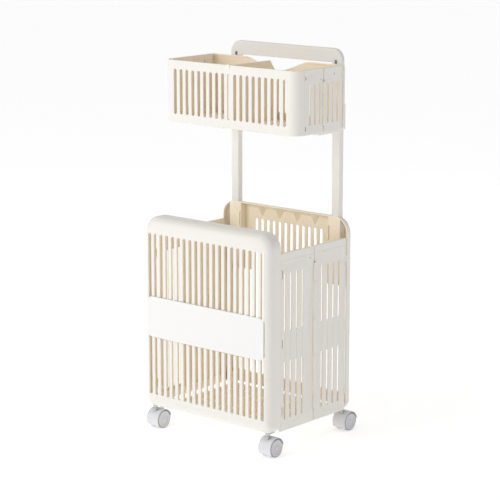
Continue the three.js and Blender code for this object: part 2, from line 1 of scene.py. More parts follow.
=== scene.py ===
"""A two-tier laundry sorter on wheels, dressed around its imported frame.

Every size is in metres. The lower basket folds, its floor tips up, the divider lifts
out and the casters swivel and roll, so each piece rides on the body that carries it.
"""
import logging
import math
from dataclasses import dataclass
from enum import Enum
from typing import Iterable, Sequence

import bmesh
import bpy
from mathutils import Matrix, Vector


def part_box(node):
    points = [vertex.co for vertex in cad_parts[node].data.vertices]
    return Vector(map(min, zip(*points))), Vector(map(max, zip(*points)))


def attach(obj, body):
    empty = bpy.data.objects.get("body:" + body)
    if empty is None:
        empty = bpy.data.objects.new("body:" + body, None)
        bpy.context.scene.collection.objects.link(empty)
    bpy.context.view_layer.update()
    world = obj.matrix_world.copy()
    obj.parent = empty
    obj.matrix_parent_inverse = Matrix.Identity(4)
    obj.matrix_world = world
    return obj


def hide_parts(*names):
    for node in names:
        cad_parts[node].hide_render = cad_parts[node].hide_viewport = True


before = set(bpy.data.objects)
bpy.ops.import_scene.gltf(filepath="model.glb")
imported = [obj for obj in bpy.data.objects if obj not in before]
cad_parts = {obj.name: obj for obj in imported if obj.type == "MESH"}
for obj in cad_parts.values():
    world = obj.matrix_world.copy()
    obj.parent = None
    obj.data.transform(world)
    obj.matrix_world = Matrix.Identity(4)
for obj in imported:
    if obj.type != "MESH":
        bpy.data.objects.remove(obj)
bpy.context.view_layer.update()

log = logging.getLogger("laundry_sorter")

Point = tuple[float, float]
Span = tuple[float, float]
Place = tuple[float, float, float]
Colour = tuple[float, float, float]
Mesh = bpy.types.Mesh
Material = bpy.types.Material

GAP = 0.0003  # what neighbouring pieces keep between them
OVERSHOOT = 0.002  # how far a cutter reaches past the wall that it opens


class Axis(Enum):
    """The direction in which an outline is drawn out."""

    X = 0
    Y = 1
    Z = 2


class Join(Enum):
    """How two solids are put together."""

    ADD = "UNION"
    CUT = "DIFFERENCE"
    KEEP = "INTERSECT"


class Hand(Enum):
    """The two sides of the sorter."""

    LEFT = -1
    RIGHT = 1

    @property
    def word(self) -> str:
        """The name that nodes and bodies use."""
        return self.name.lower()


# ---- Outlines ----------------------------------------------------------------------


def arc(middle: Point, radius: float, start: float, end: float, steps: int) -> list[Point]:
    """Gives points along an arc.

    Args:
        middle: The arc's centre.
        radius: Its radius.
        start: The first angle in degrees.
        end: The last angle in degrees.
        steps: How many segments it has.

    Returns:
        The points, both ends included.
    """
    angles = [math.radians(start + (end - start) * i / steps) for i in range(steps + 1)]
    return [(middle[0] + radius * math.cos(a), middle[1] + radius * math.sin(a)) for a in angles]


def rounded_box(across: Span, up: Span, low: float, high: float, steps: int = 8) -> list[Point]:
    """Draws a rectangle with one radius at its low corners and one at its high corners.

    Args:
        across: Its first and last place on the first axis.
        up: Its first and last place on the second axis.
        low: The radius of the two low corners.
        high: The radius of the two high corners.
        steps: Segments in each corner.

    Returns:
        The outline, turning left.
    """
    (a0, a1), (b0, b1) = across, up
    return (
        arc((a1 - low, b0 + low), low, -90, 0, steps)
        + arc((a1 - high, b1 - high), high, 0, 90, steps)
        + arc((a0 + high, b1 - high), high, 90, 180, steps)
        + arc((a0 + low, b0 + low), low, 180, 270, steps)
    )


def slot_outline(middle: float, low: float, high: float, width: float, steps: int = 12) -> list[Point]:
    """Draws a slot with full-round ends about a middle line."""
    r = width / 2
    return arc((middle, high - r), r, 0, 180, steps) + arc((middle, low + r), r, 180, 360, steps)


def circle(middle: Point, radius: float, steps: int = 32) -> list[Point]:
    """Draws a circle."""
    return arc(middle, radius, 0, 360, steps)[:-1]


def moved_out(points: Sequence[Point], distance: float) -> list[Point]:
    """Offsets a left-turning outline outwards, corner by corner.

    Args:
        points: The outline.
        distance: How far out it goes. A negative distance goes in.

    Returns:
        The new outline, with as many points.
    """
    out = []
    count = len(points)
    for i, (x, y) in enumerate(points):
        before, after = points[i - 1], points[(i + 1) % count]
        first = Vector((x - before[0], y - before[1]))
        second = Vector((after[0] - x, after[1] - y))
        if first.length < 1e-9 or second.length < 1e-9:
            first = second = first if first.length > second.length else second
        n1 = Vector((first.y, -first.x)).normalized()
        n2 = Vector((second.y, -second.x)).normalized()
        middle = (n1 + n2) / max((1 + n1.dot(n2)), 0.4)
        out.append((x + middle.x * distance, y + middle.y * distance))
    return out


# ---- Solids ------------------------------------------------------------------------


def tidy_outline(points: Sequence[Point]) -> list[Point]:
    """Leaves out points that repeat the one before."""
    kept: list[Point] = []
    for p in points:
        if not kept or math.dist(p, kept[-1]) > 1e-7:
            kept.append(p)
    if math.dist(kept[0], kept[-1]) < 1e-7:
        kept.pop()
    return kept


def placed(point: Point, along: float, axis: Axis) -> Place:
    """Puts a flat point at a height along the axis that the outline is drawn out on."""
    a, b = point
    return {Axis.X: (along, a, b), Axis.Y: (a, along, b), Axis.Z: (a, b, along)}[axis]


def mesh_from(bm: bmesh.types.BMesh) -> Mesh:
    """Turns a closed bmesh into a mesh whose faces point out."""
    bmesh.ops.recalc_face_normals(bm, faces=bm.faces)
    mesh = bpy.data.meshes.new("solid")
    bm.to_mesh(mesh)
    bm.free()
    return mesh


def loft(rings: Sequence[Sequence[Place]], closed: bool = False) -> Mesh:
    """Skins rings that have the same number of points.

    Args:
        rings: The rings in order.
        closed: Whether the last ring joins the first, in place of two end caps.

    Returns:
        The closed mesh.
    """
    bm = bmesh.new()
    rows = [[bm.verts.new(p) for p in ring] for ring in rings]
    count = len(rows[0])
    pairs = list(zip(rows, rows[1:])) + ([(rows[-1], rows[0])] if closed else [])
    for one, two in pairs:
        for i in range(count):
            j = (i + 1) % count
            bm.faces.new((one[i], one[j], two[j], two[i]))
    if not closed:
        bm.faces.new(rows[0])
        bm.faces.new(rows[-1])
    return mesh_from(bm)


def prism(
    outline: Sequence[Point], span: Span, axis: Axis, edge: float = 0.0, flare: bool = False, steps: int = 4
) -> Mesh:
    """Draws an outline out into a solid with rounded or flared ends.

    Args:
        outline: The left-turning outline.
        span: Where it starts and ends along the axis.
        axis: The axis.
        edge: The radius of both end edges.
        flare: Whether the ends open out, as a cutter's do, in place of closing in.
        steps: Segments in each rounded edge.

    Returns:
        The closed mesh.
    """
    points = tidy_outline(outline)
    low, high = span
    if edge <= 0:
        levels = [(low, 0.0), (high, 0.0)]
    else:
        sign = 1 if flare else -1
        turn = [math.pi / 2 * i / steps for i in range(steps + 1)]
        ends = [(edge * (1 - math.cos(t)), edge * (1 - math.sin(t))) for t in turn]
        levels = [(low + d, sign * s) for d, s in ends]
        levels += [(high - d, sign * s) for d, s in reversed(ends)]
        if flare:
            levels = [(low - OVERSHOOT, edge)] + levels + [(high + OVERSHOOT, edge)]
    return loft([[placed(p, along, axis) for p in moved_out(points, grow)] for along, grow in levels])


def block(x: Span, y: Span, z: Span, edge: float = 0.0006) -> Mesh:
    """Makes a box with rounded edges."""
    corner = min(edge * 1.5, (x[1] - x[0]) / 3, (y[1] - y[0]) / 3)
    return prism(rounded_box(x, y, corner, corner, 3), z, Axis.Z, edge, steps=3)


def rod(middle: Point, radius: float, span: Span, axis: Axis, edge: float = 0.0004, steps: int = 32) -> Mesh:
    """Makes a round bar with softened ends."""
    return prism(circle(middle, radius, steps), span, axis, edge, steps=3)


def rings_about(profile: Sequence[Point], centre: Vector, axis: Axis, steps: int) -> list[list[Place]]:
    """Repeats a profile of (radius, along) points round an axis.

    Args:
        profile: The profile.
        centre: The point on the axis where along is zero.
        axis: The axis.
        steps: How many times it is repeated.

    Returns:
        One ring of places for each step.
    """
    rings = []
    for i in range(steps):
        angle = 2 * math.pi * i / steps
        ring = [placed((r * math.cos(angle), r * math.sin(angle)), along, axis) for r, along in profile]
        rings.append([tuple(Vector(p) + centre) for p in ring])
    return rings


def turned(profile: Sequence[Point], centre: Vector, axis: Axis, steps: int = 48) -> Mesh:
    """Turns a profile of (radius, along) points about an axis.

    Args:
        profile: The profile, from one end on the axis to the other.
        centre: The point on the axis where along is zero.
        axis: The axis.
        steps: Segments round.

    Returns:
        The closed mesh.
    """
    bm = bmesh.new()
    rows = [[bm.verts.new(p) for p in ring] for ring in rings_about(profile, centre, axis, steps)]
    for one, two in zip(rows, rows[1:] + rows[:1]):
        for i in range(len(profile) - 1):
            bm.faces.new((one[i], one[i + 1], two[i + 1], two[i]))
    bmesh.ops.remove_doubles(bm, verts=bm.verts, dist=1e-7)
    bmesh.ops.dissolve_degenerate(bm, edges=bm.edges, dist=1e-7)
    return mesh_from(bm)


def bar_profile(radius: float, half: float, ease: float) -> list[Point]:
    """Draws a plain bar's profile, with its ends eased over a short length."""
    neck = radius - 0.0004
    return [(0, -half), (neck, -half), (radius, ease - half), (radius, half - ease), (neck, half), (0, half)]


def as_object(mesh: Mesh, name: str = "part") -> bpy.types.Object:
    """Links a mesh into the scene as an object at the origin."""
    obj = bpy.data.objects.new(name, mesh)
    bpy.context.scene.collection.objects.link(obj)
    return obj


def baked(obj: bpy.types.Object) -> Mesh:
    """Returns an object's evaluated mesh as plain data and removes the object."""
    graph = bpy.context.evaluated_depsgraph_get()
    mesh = bpy.data.meshes.new_from_object(obj.evaluated_get(graph), depsgraph=graph)
    bpy.data.objects.remove(obj)
    return mesh


def gathered(meshes: Iterable[Mesh]) -> Mesh:
    """Puts several separate solids into one mesh."""
    bm = bmesh.new()
    for mesh in meshes:
        bm.from_mesh(mesh)
    out = bpy.data.meshes.new("gathered")
    bm.to_mesh(out)
    bm.free()
    return out


def combined(base: Mesh, other: Mesh, how: Join) -> Mesh:
    """Joins, cuts or keeps what two solids share.

    Args:
        base: The solid that is worked on.
        other: The solid that works on it.
        how: What is done.

    Returns:
        The result.
    """
    work, tool = as_object(base), as_object(other)
    change = work.modifiers.new("join", "BOOLEAN")
    change.operation = how.value
    change.solver = "MANIFOLD"
    change.object = tool
    bpy.context.view_layer.update()
    mesh = baked(work)
    bpy.data.objects.remove(tool)
    return mesh


def joined(*meshes: Mesh) -> Mesh:
    """Melts solids that overlap into one."""
    whole = meshes[0]
    for mesh in meshes[1:]:
        whole = combined(whole, mesh, Join.ADD)
    return whole


def cut(base: Mesh, *tools: Mesh) -> Mesh:
    """Takes tools out of a solid, one after another."""
    for tool in tools:
        base = combined(base, tool, Join.CUT)
    return base


def handed(mesh: Mesh, hand: Hand) -> Mesh:
    """Returns a right-hand solid as it is, or mirrored for the left."""
    if hand is Hand.RIGHT:
        return mesh
    bm = bmesh.new()
    bm.from_mesh(mesh)
    bm.transform(Matrix.Diagonal((-1, 1, 1, 1)))
    bmesh.ops.reverse_faces(bm, faces=bm.faces)
    out = bpy.data.meshes.new("mirrored")
    bm.to_mesh(out)
    bm.free()
    return out


# ---- Rows made by Geometry Nodes ---------------------------------------------------


class Row:
    """Repeats one solid along a line with a Geometry Nodes tree."""

    def __init__(self) -> None:
        """Builds the tree once, with named inputs for its sizes."""
        self.tree = bpy.data.node_groups.new("row of copies", "GeometryNodeTree")
        face = self.tree.interface
        face.new_socket("Solid", in_out="INPUT", socket_type="NodeSocketGeometry")
        self.count = face.new_socket("Count", in_out="INPUT", socket_type="NodeSocketInt")
        self.start = face.new_socket("Start", in_out="INPUT", socket_type="NodeSocketVector")
        self.step = face.new_socket("Step", in_out="INPUT", socket_type="NodeSocketVector")
        self.finish = face.new_socket("Finish", in_out="INPUT", socket_type="NodeSocketMaterial")
        face.new_socket("Row", in_out="OUTPUT", socket_type="NodeSocketGeometry")
        given = self.tree.nodes.new("NodeGroupInput")
        line = self.node("GeometryNodeMeshLine", {"mode": "OFFSET"}, {
            "Count": given.outputs["Count"],
            "Start Location": given.outputs["Start"],
            "Offset": given.outputs["Step"],
        })
        copies = self.node("GeometryNodeInstanceOnPoints", {}, {
            "Points": line.outputs["Mesh"], "Instance": given.outputs["Solid"]})
        real = self.node("GeometryNodeRealizeInstances", {}, {"Geometry": copies.outputs["Instances"]})
        dressed = self.node("GeometryNodeSetMaterial", {}, {
            "Geometry": real.outputs["Geometry"], "Material": given.outputs["Finish"]})
        self.node("NodeGroupOutput", {}, {"Row": dressed.outputs["Geometry"]})

    def node(self, kind: str, settings: dict, inputs: dict) -> bpy.types.Node:
        """Adds one node.

        Args:
            kind: The node's type.
            settings: Its properties, which are set first.
            inputs: Links for its sockets, by name.

        Returns:
            The node.
        """
        made = self.tree.nodes.new(kind)
        for key, value in settings.items():
            setattr(made, key, value)
        for key, value in inputs.items():
            self.tree.links.new(value, made.inputs[key])
        return made

    def of(self, solid: Mesh, count: int, start: Sequence[float], step: Sequence[float],
           material: Material | None = None) -> Mesh:
        """Repeats a solid.

        Args:
            solid: What is repeated, drawn at its first place less start.
            count: How many there are.
            start: How far the first copy is moved.
            step: From one copy to the next.
            material: What the copies are dressed in.

        Returns:
            One plain mesh of all the copies.
        """
        obj = as_object(solid, "row")
        change = obj.modifiers.new("row", "NODES")
        change.node_group = self.tree
        change[self.count.identifier] = count
        change[self.start.identifier] = tuple(start)
        change[self.step.identifier] = tuple(step)
        if material:
            change[self.finish.identifier] = material
        bpy.context.view_layer.update()
        return baked(obj)


ROW = Row()


def spread(count: int, pitch: float) -> float:
    """Gives the first place of a row of places centred on zero."""
    return -(count - 1) / 2 * pitch


# ---- Shader maths ------------------------------------------------------------------


class Value:
    """A shader socket that takes part in Python expressions."""

    def __init__(self, maker: "Shader", socket: bpy.types.NodeSocket) -> None:
        """Keeps the socket and the shader that it belongs to."""
        self.maker = maker
        self.socket = socket

    def _math(self, operation: str, first: "Value | float", second: "Value | float") -> "Value":
        """Adds one Math node and returns its result."""
        made = self.maker.node("ShaderNodeMath", {"operation": operation}, {0: first, 1: second})
        return Value(self.maker, made.outputs[0])

    def __add__(self, other: "Value | float") -> "Value":
        """Adds."""
        return self._math("ADD", self, other)

    def __radd__(self, other: float) -> "Value":
        """Adds to a number."""
        return self._math("ADD", other, self)

    def __mul__(self, other: "Value | float") -> "Value":
        """Multiplies."""
        return self._math("MULTIPLY", self, other)

    def __pow__(self, other: float) -> "Value":
        """Raises to a power."""
        return self._math("POWER", self, other)


class Shader:
    """One material's node tree, built with short calls."""

    def __init__(self, name: str) -> None:
        """Starts an empty material."""
        self.material = bpy.data.materials.new(name)
        self.material.use_nodes = True
        self.tree = self.material.node_tree
        self.tree.nodes.clear()
        place = self.node("ShaderNodeTexCoord")
        self.place = Value(self, place.outputs["Object"])

    def node(self, kind: str, settings: dict | None = None, inputs: dict | None = None) -> bpy.types.Node:
        """Adds a node.

        Args:
            kind: Its type.
            settings: Its properties, and a ramp's stops under "stops".
            inputs: Values or links of its sockets, by name or number.

        Returns:
            The node.
        """
        made = self.tree.nodes.new(kind)
        for key, value in (settings or {}).items():
            if key == "stops":
                ramp = made.color_ramp
                while len(ramp.elements) < len(value):
                    ramp.elements.new(0.5)
                for element, (at, colour) in zip(ramp.elements, value):
                    element.position = at
                    element.color = (*colour, 1)
            else:
                setattr(made, key, value)
        for key, value in (inputs or {}).items():
            if isinstance(value, Value):
                self.tree.links.new(value.socket, made.inputs[key])
            else:
                made.inputs[key].default_value = value
        return made

    def noise(self, scale: float, detail: float = 3, stretch: Sequence[float] = (1, 1, 1)) -> Value:
        """Gives soft noise from 0 to 1, in object space."""
        moved = self.node("ShaderNodeMapping", {}, {"Vector": self.place, "Scale": stretch})
        made = self.node("ShaderNodeTexNoise", {}, {
            "Vector": Value(self, moved.outputs[0]), "Scale": scale, "Detail": detail})
        return Value(self, made.outputs["Fac"])

    def specks(self, scale: float) -> Value:
        """Gives the distance to the nearest of many scattered points."""
        made = self.node("ShaderNodeTexVoronoi", {"feature": "F1"}, {"Vector": self.place, "Scale": scale})
        return Value(self, made.outputs["Distance"])

    def ramp(self, value: Value, stops: Sequence[tuple[float, Sequence[float]]]) -> Value:
        """Colours a value by its stops."""
        made = self.node("ShaderNodeValToRGB", {"stops": stops}, {0: value})
        return Value(self, made.outputs[0])

    def mixed(
        self, how: Value | float, first: Value | Sequence[float], second: Value | Sequence[float],
    ) -> Value:
        """Mixes two colours."""
        made = self.node("ShaderNodeMix", {"data_type": "RGBA"}, {0: how, 6: first, 7: second})
        return Value(self, made.outputs[2])

    def edges(self) -> Value:
        """Gives how sharply the surface turns: above a half along edges."""
        made = self.node("ShaderNodeNewGeometry")
        return Value(self, made.outputs["Pointiness"])

    def bump(self, height: Value, strength: float, distance: float) -> Value:
        """Turns a height into a normal."""
        made = self.node("ShaderNodeBump", {}, {"Height": height, "Strength": strength, "Distance": distance})
        return Value(self, made.outputs[0])

    def close(self, inputs: dict) -> Material:
        """Adds the surface and the output.

        Args:
            inputs: The Principled BSDF's sockets.

        Returns:
            The material.
        """
        surface = self.node("ShaderNodeBsdfPrincipled", {}, inputs)
        out = self.node("ShaderNodeOutputMaterial")
        self.tree.links.new(surface.outputs[0], out.inputs[0])
        return self.material


def rgba(colour: Sequence[float]) -> tuple[float, float, float, float]:
    """Adds full alpha to a colour."""
    return (colour[0], colour[1], colour[2], 1.0)


@dataclass(frozen=True)
class MouldedPlastic:
    """Injection-moulded plastic: fine grain, flow marks, a little dirt, and a painted highlight that makes
    its convex edges paler.
    """

    name: str
    colour: Colour
    deep: Colour
    roughness: float = 0.42
    grain: float = 0.10

    def material(self) -> Material:
        """Builds the material."""
        shader = Shader(self.name)
        flow = shader.noise(3.2, 4, (1, 1, 0.35))
        cloud = shader.noise(11, 3)
        fine = shader.noise(900, 2)
        spark = shader.specks(1500)
        # Painted highlight: a mask of the convex edges, where the colour is made 3% paler as if they caught
        # the light.
        edge = shader.ramp(shader.edges(), [(0.50, (0, 0, 0)), (0.56, (1, 1, 1))])
        base = shader.mixed(flow * 0.55 + cloud * 0.25, rgba(self.colour), rgba(self.deep))
        # The painted edge highlight is mixed into the colour here.
        edge_highlighted = shader.mixed(edge, base, rgba([min(1.0, c * 1.03) for c in self.colour]))
        rough = self.roughness - 0.06 + cloud * 0.09 + fine * 0.05
        height = fine * 0.6 + spark * 0.4 + flow * 0.8
        return shader.close({
            "Base Color": edge_highlighted,
            "Roughness": rough,
            "Normal": shader.bump(height, self.grain, 0.0004),
            "IOR": 1.49,
        })


@dataclass(frozen=True)
class DrawnSteel:
    """Drawn bar: fine lines along its length, with small dull patches."""

    name: str
    colour: Colour
    roughness: float = 0.28

    def material(self) -> Material:
        """Builds the material."""
        shader = Shader(self.name)
        lines = shader.noise(420, 3, (1, 1, 0.04))
        dull = shader.noise(35, 4)
        tint = shader.mixed(dull, rgba(self.colour), rgba([c * 0.8 for c in self.colour]))
        return shader.close({
            "Base Color": tint,
            "Metallic": 1.0,
            "Roughness": self.roughness + lines * 0.16 + dull * 0.1,
            "Normal": shader.bump(lines, 0.12, 0.0002),
        })


@dataclass(frozen=True)
class WheelRubber:
    """Hard grey tread: matt, dusty where it rolls."""

    name: str
    colour: Colour

    def material(self) -> Material:
        """Builds the material."""
        shader = Shader(self.name)
        dust = shader.noise(60, 5)
        fine = shader.noise(1400, 2)
        dusty = [min(1, c * 1.25 + 0.02) for c in self.colour]
        tint = shader.mixed(dust ** 2.0, rgba(self.colour), rgba(dusty))
        return shader.close({
            "Base Color": tint,
            "Roughness": 0.55 + dust * 0.2,
            "Normal": shader.bump(fine + dust * 0.5, 0.18, 0.0003),
        })


@dataclass(frozen=True)
class PaleFloor:
    """The plain floor that the sorter stands on."""

    name: str = "pale floor"
    glow: float = 0.43

    def material(self) -> Material:
        """Builds the material."""
        shader = Shader(self.name)
        cloud = shader.noise(1.5, 2)
        tint = shader.mixed(cloud, (0.93, 0.93, 0.93, 1), (0.95, 0.95, 0.95, 1))
        return shader.close({
            "Base Color": tint,
            "Roughness": 0.9,
            "Specular IOR Level": 0.1,
            "Emission Color": (1, 1, 1, 1),
            "Emission Strength": self.glow,
        })


@dataclass(frozen=True)
class Palette:
    """Every finish on the sorter, as materials."""

    shell: Material
    # inside: painted shade for the faces that look into the baskets.
    inside: Material
    label: Material
    hood: Material
    disc: Material
    tread: Material
    steel: Material
    dark: Material


def mixed_palette() -> Palette:
    """Makes the finishes."""
    return Palette(
        shell=MouldedPlastic("ivory shell", (0.83, 0.805, 0.76), (0.82, 0.79, 0.74)).material(),
        # inside: painted shade, a warmer, darker tan that stands in for the shade and bounced light inside
        # the baskets; the plastic is one colour.
        inside=MouldedPlastic(
            "ivory shell, warm inside", (0.95, 0.855, 0.69), (0.94, 0.83, 0.655), 0.5).material(),
        label=MouldedPlastic("white plate", (0.85, 0.845, 0.83), (0.84, 0.83, 0.81), 0.36, 0.05).material(),
        hood=MouldedPlastic("pale hood", (0.74, 0.74, 0.765), (0.70, 0.70, 0.73), 0.36, 0.06).material(),
        disc=MouldedPlastic("wheel disc", (0.66, 0.66, 0.68), (0.61, 0.61, 0.63), 0.45, 0.12).material(),
        tread=WheelRubber("wheel tread", (0.34, 0.34, 0.35)).material(),
        steel=DrawnSteel("drawn steel", (0.62, 0.63, 0.64)).material(),
        dark=DrawnSteel("dark plated steel", (0.20, 0.205, 0.215), 0.36).material(),
    )


# ---- Finishing a piece -------------------------------------------------------------

SMOOTH_BELOW = math.radians(40)


def piece(
    name: str, mesh: Mesh, material: Material, body: str, slot: str, *nodes: str,
) -> bpy.types.Object:
    """Turns a solid into a finished piece of the sorter.

    Args:
        name: Its name.
        mesh: Its closed mesh, in place.
        material: Its finish.
        body: The body that carries it.
        slot: The material slot in the record that it stands for; not used.
        nodes: The CAD nodes that it replaces.

    Returns:
        The object.
    """
    bm = bmesh.new()
    bm.from_mesh(mesh)
    bmesh.ops.remove_doubles(bm, verts=bm.verts, dist=2e-6)
    bmesh.ops.dissolve_degenerate(bm, edges=bm.edges, dist=1e-6)
    for face in bm.faces:
        face.smooth = True
        face.material_index = 0
    clean = bpy.data.meshes.new(name)
    bm.to_mesh(clean)
    bm.free()
    clean.materials.append(material)
    clean.set_sharp_from_angle(angle=SMOOTH_BELOW)
    obj = as_object(clean, name)
    weigh = obj.modifiers.new("even shading", "WEIGHTED_NORMAL")
    weigh.keep_sharp = True
    weigh.weight = 80
    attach(obj, body)
    if nodes:
        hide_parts(*nodes)
    log.info("%s: %d faces on %s", name, len(clean.polygons), body)
    return obj


@dataclass(frozen=True)
class Room:
    """The box that a basket takes up, to tell its outside faces from its inside ones."""

    low: Place
    high: Place
    near: float = 0.025
    turned_away: float = 0.30

    def is_inside(self, point: Vector, normal: Vector) -> bool:
        """Tells whether a face looks into the basket or into one of its slots.

        Args:
            point: The face's middle.
            normal: The way that it faces.

        Returns:
            True for a face of the inside.
        """
        outwards = -1.0
        for i in range(3):
            if point[i] - self.low[i] < self.near:
                outwards = max(outwards, -normal[i])
            if self.high[i] - point[i] < self.near:
                outwards = max(outwards, normal[i])
        return outwards < self.turned_away

    def line(self, obj: bpy.types.Object, inside: Material) -> None:
        """Gives the faces that look into the basket the painted warm shade, which stands in for the shade and
        bounced light inside it.
        """
        obj.data.materials.append(inside)
        index = len(obj.data.materials) - 1
        for face in obj.data.polygons:
            if self.is_inside(face.center, face.normal):
                face.material_index = index


# ---- Panels ------------------------------------------------------------------------


@dataclass(frozen=True)
class Tray:
    """A shallow tray that stands on its edge: one closed face, and a flange all round.

    Attributes:
        across: Its place along X.
        up: Its place along Z.
        face: The plane of its closed face.
        rim: The plane of its open rim.
        low: The radius of its low corners.
        high: The radius of its high corners.
        soft: The radius of the edge round its closed face.
    """

    across: Span
    up: Span
    face: float
    rim: float
    low: float
    high: float
    soft: float

    def shell(self, inset: float, face: float, rim: float) -> Mesh:
        """Makes the tray's outline as a full solid.

        Args:
            inset: How much smaller it is all round.
            face: The plane of its soft face.
            rim: The plane where it ends.

        Returns:
            The solid.
        """
        inwards = math.copysign(1, self.rim - self.face)
        soft = max(self.soft - inset, 0.001)
        steps = 9
        outline = rounded_box(
            (self.across[0] + inset, self.across[1] - inset), (self.up[0] + inset, self.up[1] - inset),
            self.low - inset, self.high - inset, 12)
        outline = tidy_outline(outline)
        rings = []
        for i in range(steps + 1):
            angle = math.pi / 2 * i / steps
            pulled = self.pulled_in(outline, soft * (1 - math.sin(angle)))
            depth = face + inwards * soft * (1 - math.cos(angle))
            rings.append([placed(p, depth, Axis.Y) for p in pulled])
        rings.append([placed(p, rim, Axis.Y) for p in outline])
        return loft(rings)

    @staticmethod
    def pulled_in(outline: Sequence[Point], distance: float) -> list[Point]:
        """Shrinks the outline towards its middle by a fixed distance on every side."""
        across = [p[0] for p in outline]
        up = [p[1] for p in outline]
        middle = ((min(across) + max(across)) / 2, (min(up) + max(up)) / 2)
        half = ((max(across) - min(across)) / 2, (max(up) - min(up)) / 2)
        return [
            (middle[0] + (x - middle[0]) * (1 - distance / half[0]),
             middle[1] + (z - middle[1]) * (1 - distance / half[1]))
            for x, z in outline
        ]

    def made(self, wall: float, face_wall: float) -> Mesh:
        """Hollows the tray out.

        Args:
            wall: The thickness of its flange.
            face_wall: The thickness of its closed face.

        Returns:
            The hollow tray.
        """
        inwards = math.copysign(1, self.rim - self.face)
        full = self.shell(0, self.face, self.rim)
        hollow = self.shell(wall, self.face + inwards * face_wall, self.rim + inwards * 0.002)
        return cut(full, hollow)


@dataclass(frozen=True)
class Hinge:
    """The knuckles and pins that join the leaves of one side of one basket."""

    outer: float
    front_pin: float
    rear_pin: float
    seams: tuple[float, ...]
    ears: tuple[Span, ...]
    thick: float = 0.008
    knuckle: float = 0.004
    bore: float = 0.0023

    @property
    def middle(self) -> float:
        """The middle pin's place along Y."""
        return (self.front_pin + self.rear_pin) / 2

    @property
    def corner_x(self) -> float:
        """The corner pins' place along X on the right."""
        return self.outer - self.thick / 2

    @property
    def middle_x(self) -> float:
        """The middle pin's place along X on the right."""
        return self.outer + 0.001

    def corner_ears(self, pin: float, edge: float) -> list[Mesh]:
        """Makes the ears that a panel holds out to a corner pin.

        Args:
            pin: The pin's place along Y.
            edge: The panel's rim along Y.

        Returns:
            One solid for each ear.
        """
        overlap = math.copysign(0.006, edge - pin)
        wide = (self.corner_x - 0.0025, self.corner_x + 0.0035)
        reach = tuple(sorted((pin, edge + overlap)))
        made = []
        for ear in self.ears:
            eye = rod((self.corner_x, pin), self.knuckle - 0.0002, ear, Axis.Z)
            made.append(joined(eye, block(wide, reach, ear)))
        return made

    def with_ears(self, body: Mesh, hand: Hand, pin: float, edge: float) -> Mesh:
        """Melts the ears of one side into a panel."""
        return joined(body, *[handed(ear, hand) for ear in self.corner_ears(pin, edge)])

    def corner_bore(self, pin: float, span: Span) -> Mesh:
        """Makes the cutter for a corner pin's hole."""
        return rod((self.corner_x, pin), self.bore - 0.0002, span, Axis.Z, 0)


def slot_row(low: float, high: float, width: float, depth: Span, axis: Axis, count: int, first: float,
             pitch: float, flare: float = 0.0009) -> Mesh:
    """Makes the cutter for a row of slots whose mouths open out.

    Args:
        low: The slots' low end.
        high: Their high end.
        width: Their width.
        depth: The wall that they go through.
        axis: The direction through the wall, X or Y, or Z for a floor.
        count: How many there are.
        first: The first one's middle.
        pitch: From one to the next.
        flare: The radius of the mouth.

    Returns:
        One mesh of all the cutters.
    """
    one = prism(slot_outline(0, low, high, width), depth, axis, flare, flare=True)
    along = Vector((0, 1, 0)) if axis is Axis.X else Vector((1, 0, 0))
    return ROW.of(one, count, along * first, along * pitch)


